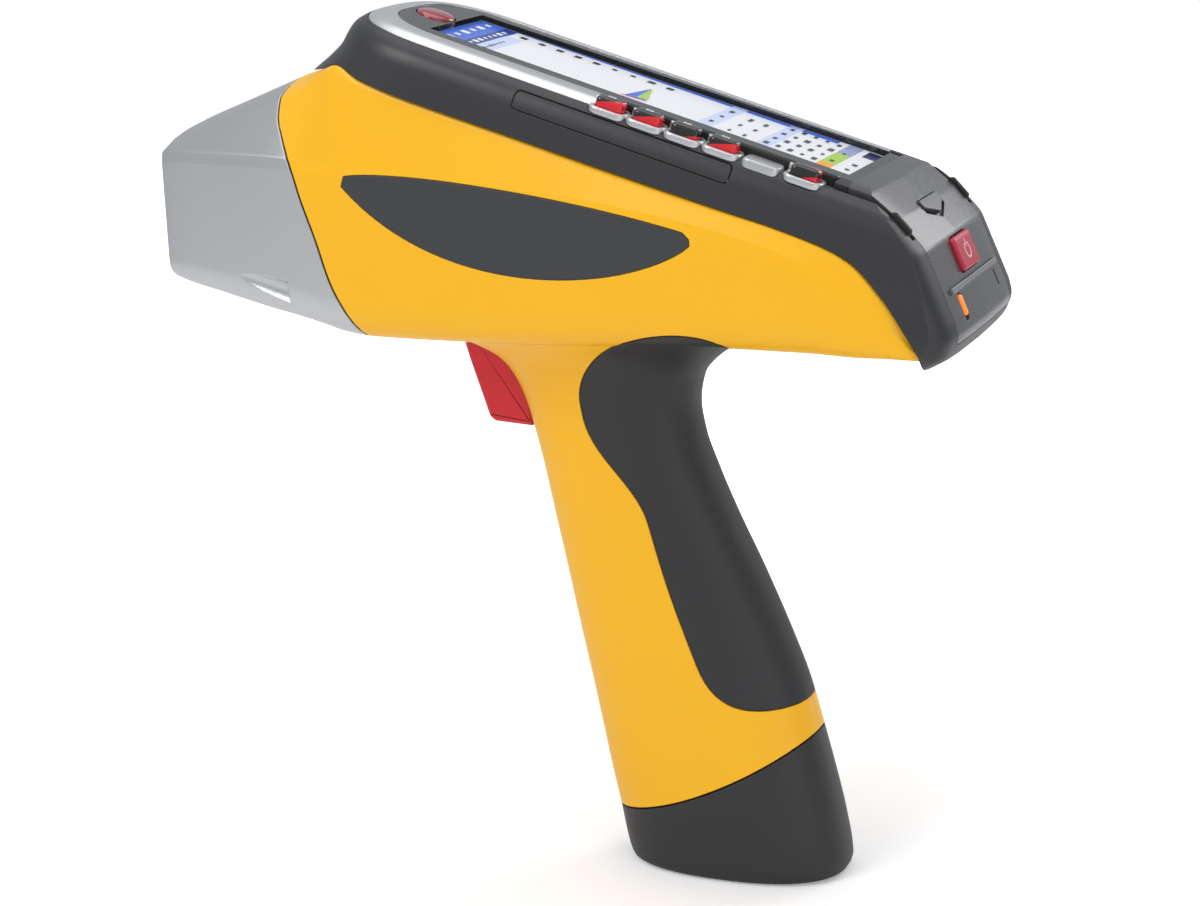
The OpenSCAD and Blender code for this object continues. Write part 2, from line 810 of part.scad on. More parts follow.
trigger_line = concat(
    bezier([[-37, 168], [-36.6, 160], [-32, 149], [-29.2, 139.6]], 6),
    [[-28.2, 137.6], [-26.2, 136.2], [-13.4, 135.2], [-12.4, 137], [-13.4, 146], [-17, 157], [-21, 166], [-24, 173]]
);
lug_r = 6.2;
module trigger() {
    half = trigger_width / 2;
    color(red) difference() {
        union() {
            side_cut(trigger_line, half - 1.2);
            side_plate([for (p = trigger_line) p * 0.94 + [-24, 155] * 0.06], -half, half);
            cross_rod(trigger_pivot, lug_r, -half, half);
            translate([-28, -half, 169]) cube([16, 2 * half, 4]);
        }
        cross_rod(trigger_pivot, trigger_pin_r + 0.05, -20, 20);
        // room for the spring's coil
        cross_rod(trigger_pivot, 4.2, -3, 3);
        translate([-35, -3, 173.2]) cube([30, 6, 12]);
    }
}

module trigger_pin() {
    color(steel) cross_rod(trigger_pivot, trigger_pin_r, -pin_reach, pin_reach);
}

spring_wire = 0.45;
spring_r = 2.6;
module trigger_spring() {
    color(steel) {
        translate([trigger_pivot[0], 0, trigger_pivot[1]]) rotate([90, 0, 0])
            for (k = [-2:2]) translate([0, 0, k * spring_wire * 1.7])
                rotate_extrude($fn = 36) translate([spring_r, 0]) circle(spring_wire, $fn = 16);
        translate([trigger_pivot[0] + 1, 0, trigger_pivot[1] + spring_r - 0.1]) rotate([0, 90, 0])
            cylinder(h = 8, r = spring_wire, $fn = 16);
    }
}

module trigger_switch() {
    color(black) difference() {
        translate([-19, -3, 176.4]) cube([16, 6, chassis_low - 176.4]);
        for (x = [-15.5, -6.5]) cross_rod([x, 179], 0.9, -5, 5);
    }
}

// ---- Battery --------------------------------------------------------------------------------

slide_tilt = -13.5;                 // the battery slides out along the grip
cell_r = 9.1;
cell_length = 61;
cell_pitch = 19;
cell_low = -15;                    // foot of the cells, along the grip from cells_at
cells_at = [45.4, 22];
cell_places = [-cell_pitch, 0, cell_pitch];
tray_top = 26;
module along_grip() {
    translate([cells_at[0], 0, cells_at[1]]) rotate([0, slide_tilt, 0]) children();
}

// Foot that the instrument stands on, with the tray of the cells rising into the grip
module battery_base() {
    color(charcoal) difference() {
        union() {
            intersection() {
                grip_form();
                below_base(-0.3);
            }
            intersection() {
                along_grip() translate([-30.4, -11, -4]) cube([60.8, 22, tray_top + 4]);
                grip_form(grip_wall + 0.5);
            }
        }
        for (x = cell_places) along_grip() translate([x, 0, cell_low - 0.2]) cylinder(h = 80, r = cell_r + 0.3, $fn = 48);
    }
}

module battery_cells() {
    color(brass) for (x = cell_places) along_grip() translate([x, 0, cell_low]) {
        cylinder(h = cell_length, r = cell_r, $fn = 48);
        translate([0, 0, cell_length - 0.1]) cylinder(h = 1.2, r = 3, $fn = 24);
    }
}

contact_low = cell_low + cell_length + 1.1;
module battery_contacts() {
    color(brass) along_grip() for (x = cell_places) translate([x - 3, -3, contact_low]) cube([6, 6, 0.8]);
}

// Bulkhead across the grip that carries the spring contacts
module contact_block() {
    color(black) difference() {
        intersection() {
            grip_form(grip_wall + 0.02);
            along_grip() translate([-60, -30, contact_low + 1.2]) cube([120, 60, 5]);
        }
        along_grip() for (x = cell_places) translate([x - 4, -4, contact_low]) cube([8, 8, 3.4]);
    }
}

// ---- Inside ---------------------------------------------------------------------------------

beam_front = nose_x + window_recess + 2;
beam_rear = -102;
chassis_low = 181;
chassis_top = 183;

wheel_r = 11;
wheel_at = [-110.8, 0, 193.5];
wheel_thick = 2.4;

module beam_head() {
    color(steel) difference() {
        translate([beam_front, -14, window_mid - 12]) cube([beam_rear - beam_front, 28, 24]);
        translate([-123, 0, window_mid]) rotate([0, 90, 0]) cylinder(h = 6, r = 7, $fn = 48);
        translate([-118, 0, window_mid]) rotate([0, 90, 0]) cylinder(h = 30, r = 3, $fn = 32);
        translate([-113, -15, window_mid - 13]) cube([4.4, 30, 21]);
        translate([-113, 0, wheel_at[2]]) rotate([0, 90, 0]) cylinder(h = 20, r = 2, $fn = 32);
    }
}

module filter_wheel() {
    color(brass) translate(wheel_at) rotate([0, 90, 0]) translate([0, 0, -wheel_thick / 2]) difference() {
        cylinder(h = wheel_thick, r = wheel_r, $fn = 64);
        translate([0, 0, -1]) cylinder(h = 5, r = 1.55, $fn = 32);
        for (a = [0:60:300]) rotate(a) translate([7, 0, -1]) cylinder(h = 5, r = 2.6, $fn = 32);
    }
}

module wheel_motor() {
    color(steel) translate([wheel_at[0], 0, wheel_at[2]]) rotate([0, 90, 0]) {
        translate([0, 0, -1.6]) cylinder(h = 11.2, r = 1.5, $fn = 32);
        translate([0, 0, beam_rear - wheel_at[0]]) cylinder(h = 16, r = 6, $fn = 48);
    }
}

module detector() {
    color(silver) translate([beam_rear, 0, window_mid + 8]) rotate([0, 90, 0]) {
        cylinder(h = 10, r = 5, $fn = 48);
        translate([0, 0, 9.9]) cylinder(h = 2, r = 7.5, $fn = 48);
        translate([-7, -9, 11.8]) cube([14, 18, 9]);
    }
}

module xray_tube() {
    color(steel) translate([-80, 0, window_mid + 1]) {
        translate([0, -14, 0]) rotate([0, 90, 0]) cylinder(h = 50, r = 8, $fn = 48);
        translate([-3, -14, 0]) rotate([0, 90, 0]) cylinder(h = 4, r = 5, $fn = 48);
    }
}

// Plate that carries the electronics, standing on posts on the housing's floor
posts_at = [for (x = [-62, -8, 40, 84], y = [-20, 20]) [x, y]];
module chassis() {
    color(silver) difference() {
        union() {
            translate([-82, -24, chassis_low]) cube([184, 48, chassis_top - chassis_low]);
            translate([-32, -24, chassis_low]) cube([2, 48, 28]);
            intersection() {
                for (p = posts_at) translate([p[0], p[1], 160]) cylinder(h = 22, r = 3, $fn = 24);
                body_form(housing_wall + 0.02);
            }
        }
        for (x = [-74, -46, 22, 62], y = [-14, 14]) translate([x, y, 179]) cylinder(h = 6, r = 3, $fn = 24);
        translate([-33, -14, window_mid + 1]) rotate([0, 90, 0]) cylinder(h = 4, r = 8.05, $fn = 48);
    }
}

module high_voltage_supply() {
    color(steel) {
        translate([52, -22, chassis_top]) cube([50, 44, 17]);
        translate([42, -14, 197]) rotate([0, 90, 0]) cylinder(h = 10.1, r = 4, $fn = 32);
    }
}

module main_board() {
    color(board_green) translate([-24, -24, chassis_top]) {
        for (x = [4, 40], y = [4, 44]) translate([x, y, 0]) cylinder(h = 2.2, r = 2, $fn = 24);
        translate([0, 0, 2]) {
            cube([44, 48, 1.6]);
            translate([6, 6, 1.5]) cube([14, 14, 1.6]);
            translate([26, 10, 1.5]) cube([10, 20, 3]);
            translate([6, 30, 1.5]) cube([16, 8, 2]);
        }
    }
}

fin_thick = 1.2;
module heat_sink() {
    color(silver) {
        translate([24, -22, chassis_top]) cube([16, 44, 2]);
        for (i = [0:8]) translate([24, -22 + i * (44 - fin_thick) / 8, chassis_top]) cube([16, fin_thick, 11]);
    }
}

nose_shell();
nose_gasket();
window_plate();
window_film();
window_screws();
housing_left();
housing_right();
housing_screws();
side_badge();
grip_cover();
cradle();
port_cover();
port_pin();
bezel();
screen_glass();
display_panel();
handheld_computer();
side_button_1();
side_button_2();
side_button_3();
side_button_4();
side_button_5();
front_button();
rear_cover();
cover_latch();
power_button();
light_bar();
status_lamp();
trigger();
trigger_pin();
trigger_spring();
trigger_switch();
battery_base();
battery_cells();
battery_contacts();
contact_block();
chassis();
beam_head();
xray_tube();
detector();
filter_wheel();
wheel_motor();
high_voltage_supply();
main_board();
heat_sink();
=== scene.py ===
"""Handheld X-ray fluorescence analyzer: shells, screen, keys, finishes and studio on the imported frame."""

from __future__ import annotations

import logging
import math
from dataclasses import dataclass, field
from enum import Enum
from typing import Iterable, Sequence

import bmesh
import bpy
import numpy as np
from mathutils import Matrix, Vector

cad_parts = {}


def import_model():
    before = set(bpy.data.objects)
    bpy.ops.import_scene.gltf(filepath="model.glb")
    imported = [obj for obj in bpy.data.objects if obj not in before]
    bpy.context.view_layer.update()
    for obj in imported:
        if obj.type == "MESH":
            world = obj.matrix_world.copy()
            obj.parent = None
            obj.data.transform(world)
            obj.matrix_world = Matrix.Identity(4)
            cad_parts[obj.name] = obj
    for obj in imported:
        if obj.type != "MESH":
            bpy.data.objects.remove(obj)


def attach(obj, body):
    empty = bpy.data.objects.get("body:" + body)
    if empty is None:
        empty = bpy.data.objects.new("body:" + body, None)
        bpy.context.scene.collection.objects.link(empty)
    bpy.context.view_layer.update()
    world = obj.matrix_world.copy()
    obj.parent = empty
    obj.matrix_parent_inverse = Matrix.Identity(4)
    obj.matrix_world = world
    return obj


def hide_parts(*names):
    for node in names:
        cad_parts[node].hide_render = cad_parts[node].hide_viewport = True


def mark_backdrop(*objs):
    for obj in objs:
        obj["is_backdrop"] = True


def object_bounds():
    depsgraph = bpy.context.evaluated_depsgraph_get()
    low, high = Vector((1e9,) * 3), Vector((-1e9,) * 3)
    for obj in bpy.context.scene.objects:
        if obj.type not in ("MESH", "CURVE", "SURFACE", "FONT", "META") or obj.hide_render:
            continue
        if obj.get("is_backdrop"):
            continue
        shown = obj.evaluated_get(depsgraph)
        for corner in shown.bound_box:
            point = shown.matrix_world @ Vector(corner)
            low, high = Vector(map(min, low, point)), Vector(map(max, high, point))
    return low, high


LOG = logging.getLogger("analyzer")
MM = 0.001
SMOOTH_ANGLE = math.radians(32)
LEVEL_WEIGHT = 80

# Walls of the shells, in millimetres
NOSE_WALL = 1.6
HOUSING_WALL = 2.4
GRIP_WALL = 3.8
CRADLE_WALL = 3
FLAP_WALL = 1.4
FLAP_PROUD = 0.12

# Places and travels, in millimetres and degrees
WINDOW = (-127, 0, 200.5)
GROOVE_ROW = 30.35
ICON_ROW = -29.7
LATCH_TRAVEL = 1.2
BATTERY_LEAN = 13.5
CELL_PITCH = 19
CELL_WELL = 9.4
BAR_ROW = 7.6
LAMP_AT = (13, -18)
MARK_AT = (12, 20)

Outline = list[tuple[float, float]]
Colour = tuple[float, float, float]
Solid = bpy.types.Object
Line = Sequence[Sequence[float]]


class Join(Enum):
    """What a boolean does with its two solids."""

    UNION = "UNION"
    MINUS = "DIFFERENCE"
    COMMON = "INTERSECT"


# ---- Curves and tables ----------------------------------------------------------------------


class Table:
    """Rows of numbers read smoothly at any place between them, without overshoot."""

    def __init__(self, rows: Line) -> None:
        """Fits a monotone cubic to each column.

        Args:
            rows: rows that start with their place, in rising order.
        """
        data = np.array(rows, float)
        self.place, self.value = data[:, 0], data[:, 1:]
        step = np.diff(self.place)[:, None]
        rise = np.diff(self.value, axis=0) / step
        slope = np.zeros_like(self.value)
        before, after = rise[:-1], rise[1:]
        same = before * after > 0
        w1, w2 = 2 * step[1:] + step[:-1], step[1:] + 2 * step[:-1]
        with np.errstate(divide="ignore", invalid="ignore"):
            mean = (w1 + w2) / (w1 / before + w2 / after)
        slope[1:-1] = np.where(same, mean, 0)
        slope[0], slope[-1] = rise[0], rise[-1]
        self.step, self.slope = step, slope

    def at(self, place: float) -> np.ndarray:
        """Returns the row at a place."""
        x = float(np.clip(place, self.place[0], self.place[-1]))
        i = int(np.clip(np.searchsorted(self.place, x) - 1, 0, len(self.place) - 2))
        h = float(self.step[i][0])
        t = (x - self.place[i]) / h
        return (
            (2 * t**3 - 3 * t**2 + 1) * self.value[i]
            + (t**3 - 2 * t**2 + t) * h * self.slope[i]
            + (3 * t**2 - 2 * t**3) * self.value[i + 1]
            + (t**3 - t**2) * h * self.slope[i + 1]
        )


def fillet(
    points: Line, radii: Sequence[float], steps: int, closed: bool = False
) -> Outline:
    """Rounds the corners of a line.

    Args:
        points: the line's corners.
        radii: the rounding at each corner; 0 leaves a corner as it is.
        steps: pieces in each rounded corner.
        closed: whether the line closes on itself.

    Returns:
        The rounded line's points.
    """
    pts = [np.array(p, float) for p in points]
    out: list[np.ndarray] = []
    for i, p in enumerate(pts):
        if radii[i] <= 0 or (not closed and i in (0, len(pts) - 1)):
            out.append(p)
            continue
        a, b = pts[i - 1] - p, pts[(i + 1) % len(pts)] - p
        la, lb = np.linalg.norm(a), np.linalg.norm(b)
        bend = math.acos(float(np.clip(-(a @ b) / (la * lb), -1, 1)))
        reach = min(radii[i] * math.tan(bend / 2), 0.48 * la, 0.48 * lb)
        start, end = p + a / la * reach, p + b / lb * reach
        for k in range(steps + 1):
            s = k / steps
            out.append((1 - s) ** 2 * start + 2 * s * (1 - s) * p + s * s * end)
    return [tuple(float(v) for v in p) for p in out]


def bezier(
    a: Sequence[float], b: Sequence[float], c: Sequence[float], d: Sequence[float], steps: int
) -> Outline:
    """Returns a cubic curve's points from a to d, drawn towards b and c."""
    out: Outline = []
    for k in range(steps + 1):
        s, r = k / steps, 1 - k / steps
        out.append(tuple(
            r**3 * p + 3 * r * r * s * q + 3 * r * s * s * t + s**3 * v for p, q, t, v in zip(a, b, c, d)
        ))
    return out


def rounded(length: float, width: float, radius: float, steps: int = 6) -> Outline:
    """Returns a centred rectangle with round corners."""
    x, y = length / 2, width / 2
    return fillet([(-x, -y), (x, -y), (x, y), (-x, y)], [radius] * 4, steps, closed=True)


def ring_points(radius: float, sides: int, centre: tuple[float, float] = (0, 0)) -> Outline:
    """Returns a circle's points."""
    turn = 2 * math.pi / sides
    return [
        (centre[0] + radius * math.cos(i * turn), centre[1] + radius * math.sin(i * turn))
        for i in range(sides)
    ]


def shifted(line: Iterable[Sequence[float]], dx: float, dy: float) -> Outline:
    """Returns the line moved by dx and dy."""
    return [(p[0] + dx, p[1] + dy) for p in line]


# ---- Solids ---------------------------------------------------------------------------------


class Plane:
    """A flat frame in the object: local X and Y in the plane, Z out of it, in millimetres."""

    def __init__(self, origin: Sequence[float], x_axis: Sequence[float], normal: Sequence[float]) -> None:
        """Builds the frame from its origin, its X axis and its normal."""
        z = Vector(normal).normalized()
        x = Vector(x_axis).normalized()
        y = z.cross(x)
        self.matrix = Matrix((
            (x.x, y.x, z.x, origin[0]), (x.y, y.y, z.y, origin[1]), (x.z, y.z, z.z, origin[2]), (0, 0, 0, 1),
        ))

    def place(self, obj: Solid) -> Solid:
        """Moves a piece drawn in this frame to its place in the object."""
        matrix = self.matrix.copy()
        matrix.translation = matrix.translation * MM
        obj.data.transform(matrix)
        return obj


SIDE = Plane((0, 0, 0), (1, 0, 0), (0, -1, 0))


def mesh_object(
    name: str, points: Line, faces: Sequence[Sequence[int]]
) -> Solid:
    """Makes an object from points in millimetres and faces, with its normals outwards."""
    mesh = bpy.data.meshes.new(name)
    mesh.from_pydata([tuple(v * MM for v in p) for p in points], [], [tuple(f) for f in faces])
    tidy = bmesh.new()
    tidy.from_mesh(mesh)
    bmesh.ops.remove_doubles(tidy, verts=tidy.verts, dist=1e-6)
    bmesh.ops.recalc_face_normals(tidy, faces=tidy.faces)
    tidy.to_mesh(mesh)
    tidy.free()
    obj = bpy.data.objects.new(name, mesh)
    bpy.context.scene.collection.objects.link(obj)
    return obj


def loft(name: str, rings: Sequence[Line], fans: bool = True) -> Solid:
    """Makes a closed skin over a row of rings with the same number of points.

    Args:
        name: the piece's name.
        rings: the rings, from one end to the other.
        fans: whether the ends are fans from their middles, for outlines without hollows.

    Returns:
        The piece.
    """
    count = len(rings[0])
    points = [p for ring in rings for p in ring]
    faces = [
        (i * count + j, i * count + (j + 1) % count, (i + 1) * count + (j + 1) % count, (i + 1) * count + j)
        for i in range(len(rings) - 1) for j in range(count)
    ]
    if not fans:
        faces += [tuple(range(count)), tuple(range((len(rings) - 1) * count, len(rings) * count))]
        return mesh_object(name, points, faces)
    for first, ring in ((0, rings[0]), ((len(rings) - 1) * count, rings[-1])):
        points.append(tuple(np.mean(np.array(ring, float), axis=0)))
        faces += [(len(points) - 1, first + j, first + (j + 1) % count) for j in range(count)]
    return mesh_object(name, points, faces)


def prism(
    name: str, outline: Line, low: float, high: float, plane: Plane | None = None
) -> Solid:
    """Makes a prism from an outline, between two heights of its plane."""
    count = len(outline)
    points = [(p[0], p[1], z) for z in (low, high) for p in outline]
    faces = [tuple(range(count)), tuple(range(count, 2 * count))]
    faces += [(j, (j + 1) % count, count + (j + 1) % count, count + j) for j in range(count)]
    obj = mesh_object(name, points, faces)
    return plane.place(obj) if plane else obj


def side_prism(
    name: str, outline: Line, half: float = 60, centre: float = 0
) -> Solid:
    """Makes a prism from an outline in X and Z, across the instrument about y = centre."""
    return prism(name, outline, -half - centre, half - centre, SIDE)


def discard(obj: Solid) -> None:
    """Deletes a helper object and its mesh."""
    mesh = obj.data
    bpy.data.objects.remove(obj)
    if mesh.users == 0:
        bpy.data.meshes.remove(mesh)


def bake(obj: Solid) -> Solid:
    """Turns the object's modifiers into mesh."""
    graph = bpy.context.evaluated_depsgraph_get()
    mesh = bpy.data.meshes.new_from_object(obj.evaluated_get(graph))
    old = obj.data
    obj.modifiers.clear()
    obj.data = mesh
    if old.users == 0:
        bpy.data.meshes.remove(old)
    return obj


def combine(
    obj: Solid, how: Join, *tools: Solid
) -> Solid:
    """Applies booleans to a solid, one tool after another.

    Args:
        obj: the solid that is changed.
        how: what each boolean does.
        tools: the other solids.

    Returns:
        The changed solid.
    """
    for tool in tools:
        modifier = obj.modifiers.new("combine", "BOOLEAN")
        modifier.operation = how.value
        modifier.solver = "MANIFOLD"
        modifier.object = tool
        bake(obj)
        if not obj.data.vertices:
            raise ValueError(f"{obj.name}: nothing is left after {how.value} with {tool.name}")
        discard(tool)
    return obj


def bevelled(obj: Solid, width: float, segments: int = 3, angle: float = 30) -> Solid:
    """Rounds a piece's edges.

    Args:
        obj: the piece.
        width: the rounding in millimetres.
        segments: the faces across each rounded edge.
        angle: the least angle, in degrees, of an edge that is rounded.

    Returns:
        The piece.
    """
    modifier = obj.modifiers.new("edges", "BEVEL")
    modifier.width = width * MM
    modifier.segments = segments
    modifier.limit_method = "ANGLE"
    modifier.angle_limit = math.radians(angle)
    modifier.use_clamp_overlap = True
    return bake(obj)


def copy_of(obj: Solid, name: str) -> Solid:
    """Returns a copy with a mesh of its own."""
    twin = bpy.data.objects.new(name, obj.data.copy())
    bpy.context.scene.collection.objects.link(twin)
    return twin


def merged(name: str, objects: Sequence[Solid]) -> Solid:
    """Joins separate solids into one object, without a boolean."""
    whole = bmesh.new()
    for obj in objects:
        whole.from_mesh(obj.data)
    mesh = bpy.data.meshes.new(name)
    whole.to_mesh(mesh)
    whole.free()
    for obj in objects:
        discard(obj)
    out = bpy.data.objects.new(name, mesh)
    bpy.context.scene.collection.objects.link(out)
    return out


# ---- Shader graphs --------------------------------------------------------------------------


class Sock:
    """A shader socket that does maths: an expression on it adds its Math nodes."""

    def __init__(self, graph: "Graph", socket: bpy.types.NodeSocket) -> None:
        """Wraps a socket of a graph."""
        self.graph, self.socket = graph, socket

    def _math(self, operation: str, *values: "Sock | float") -> "Sock":
        """Adds a Math node."""
        return self.graph.node("ShaderNodeMath", {"operation": operation}, dict(enumerate(values))).out()

    def __add__(self, other: "Sock | float") -> "Sock":
        """Sum."""
        return self._math("ADD", self, other)

    def __sub__(self, other: "Sock | float") -> "Sock":
        """Difference."""
        return self._math("SUBTRACT", self, other)

    def __rsub__(self, other: float) -> "Sock":
        """Difference from a number."""
        return self._math("SUBTRACT", other, self)

    def __mul__(self, other: "Sock | float") -> "Sock":
        """Product."""
        return self._math("MULTIPLY", self, other)

    __radd__ = __add__
    __rmul__ = __mul__

    def over(self, limit: float) -> "Sock":
        """1 where the value is above a limit."""
        return self._math("GREATER_THAN", self, limit)

    def smooth(self, low: float, high: float) -> "Sock":
        """Rises smoothly from 0 at low to 1 at high."""
        return self.graph.node(
            "ShaderNodeMapRange", {"interpolation_type": "SMOOTHSTEP"}, {"Value": self, 1: low, 2: high}
        ).out()


class Node:
    """A shader node just added to a graph."""

    def __init__(self, graph: "Graph", raw: bpy.types.Node) -> None:
        """Wraps a node of a graph."""
        self.graph, self.raw = graph, raw

    def out(self, name: str | int = 0) -> Sock:
        """Returns one of the node's outputs."""
        return Sock(self.graph, self.raw.outputs[name])


class Graph:
    """A material's node tree, with one Principled surface."""

    def __init__(self, name: str) -> None:
        """Starts a material of that name."""
        self.material = bpy.data.materials.new(name)
        self.material.use_nodes = True
        self.tree = self.material.node_tree
        self.tree.nodes.clear()

    def node(self, kind: str, settings: dict | None = None, inputs: dict | None = None) -> Node:
        """Adds a node.

        Args:
            kind: the node's type.
            settings: its properties, set before its sockets.
            inputs: values or links for its sockets, by name or number.

        Returns:
            The node.
        """
        raw = self.tree.nodes.new(kind)
        for key, value in (settings or {}).items():
            setattr(raw, key, value)
        for key, value in (inputs or {}).items():
            if isinstance(value, Sock):
                self.tree.links.new(value.socket, raw.inputs[key])
            else:
                raw.inputs[key].default_value = value
        return Node(self, raw)

    def place(self) -> Sock:
        """Returns the point on the piece, in metres."""
        return self.node("ShaderNodeTexCoord").out("Object")

    def on_plane(self, plane: Plane) -> tuple[Sock, Sock, Sock]:
        """Returns the point's coordinates in a plane's frame, in metres."""
        inverse = plane.matrix.inverted()
        where = self.node("ShaderNodeMapping", None, {
            "Vector": self.place(),
            "Location": tuple(inverse.translation * MM),
            "Rotation": tuple(inverse.to_euler()),
        }).out()
        axes = self.node("ShaderNodeSeparateXYZ", None, {"Vector": where})
        return axes.out("X"), axes.out("Y"), axes.out("Z")

    def noise(self, scale: float, detail: float = 3, stretch: Sequence[float] = (1, 1, 1)) -> Sock:
        """Returns a noise from 0 to 1, with its scale per metre."""
        where = self.node("ShaderNodeMapping", None, {"Vector": self.place(), "Scale": tuple(stretch)}).out()
        return self.node(
            "ShaderNodeTexNoise", None, {"Vector": where, "Scale": scale, "Detail": detail}
        ).out(0)

    def shade(self, mask: Sock, low: Colour, high: Colour) -> Sock:
        """Returns a colour between two, by a mask."""
        return self.node(
            "ShaderNodeMix", {"data_type": "RGBA"}, {"Factor": mask, 6: (*low, 1), 7: (*high, 1)}
        ).out(2)

    def relief(self, height: Sock | None, depth: float, edge: float) -> Sock:
        """Returns a normal with rounded edges and a fine relief.

        Args:
            height: the relief, from 0 to 1, or nothing.
            depth: how deep it is, in millimetres.
            edge: the edges' rounding, in millimetres.
        """
        soft = self.node("ShaderNodeBevel", {"samples": 6}, {"Radius": edge * MM}).out()
        if height is None:
            return soft
        return self.node(
            "ShaderNodeBump", None, {
                "Height": height, "Distance": depth * MM, "Strength": 1.0, "Normal": soft
            }
        ).out()

    def finish(self, **sockets: Sock | float | tuple) -> bpy.types.Material:
        """Ends the material with a Principled surface whose sockets are given by name."""
        named = {key.replace("_", " ").title(): value for key, value in sockets.items()}
        fixes = {"Ior": "IOR", "Specular Level": "Specular IOR Level"}
        surface = self.node("ShaderNodeBsdfPrincipled", None, {fixes.get(k, k): v for k, v in named.items()})
        self.node("ShaderNodeOutputMaterial", None, {"Surface": surface.out()})
        return self.material


@dataclass(frozen=True)
class Moulded:
    """Moulded plastic or rubber with a fine grain."""

    name: str
    colour: Colour
    roughness: float = 0.42
    spread: float = 0.05
    tint: float = 0.04
    grain: float = 0.004
    grain_scale: float = 2600
    edge: float = 0.35
    coat: float = 0.0

    def build(self) -> bpy.types.Material:
        """Returns the finish's material."""
        graph = Graph(self.name)
        broad, fine = graph.noise(26, 4), graph.noise(self.grain_scale, 2)
        dark = tuple(c * (1 - self.tint) for c in self.colour)
        light = tuple(min(1.0, c * (1 + self.tint)) for c in self.colour)
        return graph.finish(
            base_color=graph.shade(broad, dark, light),
            roughness=self.roughness + (broad - 0.5) * self.spread + (fine - 0.5) * self.spread,
            normal=graph.relief(fine, self.grain, self.edge),
            coat_weight=self.coat,
            coat_roughness=0.12,
        )


@dataclass(frozen=True)
class Metal:
    """Bare or painted metal: cast, blasted, turned or plated."""

    name: str
    colour: Colour
    roughness: float = 0.35
    metallic: float = 1.0
    grain: float = 0.008
    grain_scale: float = 1500
    stretch: tuple[float, float, float] = (1, 1, 1)
    spread: float = 0.12
    edge: float = 0.4

    def build(self) -> bpy.types.Material:
        """Returns the finish's material."""
        graph = Graph(self.name)
        fine = graph.noise(self.grain_scale, 3, self.stretch)
        broad = graph.noise(18, 3)
        dark = tuple(c * 0.9 for c in self.colour)
        return graph.finish(
            base_color=graph.shade(fine * 0.6 + broad * 0.4, dark, self.colour),
            metallic=self.metallic,
            roughness=self.roughness + (fine - 0.5) * self.spread + (broad - 0.5) * self.spread * 0.5,
            normal=graph.relief(fine, self.grain, self.edge),
        )


@dataclass(frozen=True)
class Glow:
    """A lit surface: a screen's colour or a lamp."""

    name: str
    colour: Colour
    strength: float = 0.6
    roughness: float = 0.22

    def build(self) -> bpy.types.Material:
        """Returns the finish's material."""
        graph = Graph(self.name)
        fine = graph.noise(900, 2)
        low = tuple(c * 0.94 for c in self.colour)
        return graph.finish(
            base_color=graph.shade(fine, low, self.colour),
            roughness=self.roughness + fine * 0.06,
            emission_color=graph.shade(fine, low, self.colour),
            emission_strength=self.strength,
        )


@dataclass(frozen=True)
class ScreenGlass:
    """Clear glass with a black printed border, seen from the deck."""

    name: str
    border: Colour = (0.012, 0.012, 0.013)

    def build(self, clear: "Rect", deck: Plane) -> bpy.types.Material:
        """Returns the material.

        Args:
            clear: the see-through part, in the deck's plane.
            deck: the deck's frame.
        """
        graph = Graph(self.name)
        x, y, _ = graph.on_plane(deck)
        far = y - x * clear.flare
        along_clear = x.over(clear.x0 * MM) * (1 - x.over(clear.x1 * MM))
        inside = along_clear * y.over(clear.y0 * MM) * (1 - far.over(clear.y1 * MM))
        dust = graph.noise(700, 3)
        return graph.finish(
            base_color=(*self.border, 1),
            roughness=0.08 + dust * 0.05,
            alpha=1 - inside * 0.95,
            normal=graph.relief(None, 0, 0.3),
            coat_weight=0.2,
            coat_roughness=0.04,
        )


@dataclass(frozen=True)
class KeyPaint:
    """Red key with a painted dark reflection across its glossy top, ending at a slanting line."""

    name: str
    centre: tuple[float, float]
    slant: float = 0.32
    # black: the level of the slanting line above which the key's top is painted dark, a painted reflection
    black: float = 0.2
    # crown: beyond this line on the top the red shows again in place of the painted reflection
    crown: float | None = None
    red: Colour = (0.72, 0.010, 0.016)
    # dark: the colour of the painted reflection
    dark: Colour = (0.010, 0.009, 0.009)

    def build(self, deck: Plane) -> bpy.types.Material:
        """Returns the material, laid out in the deck's frame."""
        graph = Graph(self.name)
        x, y, height = graph.on_plane(deck)
        du, dv = x - self.centre[0] * MM, y - self.centre[1] * MM
        # Painted reflection: the key above a slanting plane is painted dark, and its lower sides stay red
        mask = (height + dv * 0.3 - du * self.slant).smooth(
            -(self.black + 0.06) * MM, -(self.black - 0.06) * MM
        )
        if self.crown is not None:
            mask = mask * (1 - (dv + du * 0.3).smooth((self.crown - 0.08) * MM, (self.crown + 0.08) * MM))
        return graph.finish(
            base_color=graph.shade(mask, self.red, self.dark),
            roughness=0.2 + graph.noise(1200, 2) * 0.06,
            normal=graph.relief(None, 0, 0.4),
            coat_weight=0.5,
            coat_roughness=0.08,
        )


@dataclass(frozen=True)
class Rect:
    """A rectangle in a plane, in millimetres, whose far side may flare outwards along its length."""

    x0: float
    x1: float
    y0: float
    y1: float
    flare: float = 0.0


Finish = Moulded | Metal | Glow


def dress(obj: Solid, *materials: bpy.types.Material) -> None:
    """Gives a piece its materials, in place of any it has."""
    obj.data.materials.clear()
    for material in materials:
        obj.data.materials.append(material)


def shade_smooth(obj: Solid, angle: float = SMOOTH_ANGLE) -> None:
    """Shades a piece smoothly, with edges sharper than the angle kept and large faces kept level."""
    obj.data.polygons.foreach_set("use_smooth", [True] * len(obj.data.polygons))
    obj.data.set_sharp_from_angle(angle=angle)
    modifier = obj.modifiers.new("level", "WEIGHTED_NORMAL")
    modifier.keep_sharp = True
    modifier.weight = LEVEL_WEIGHT
    bake(obj)


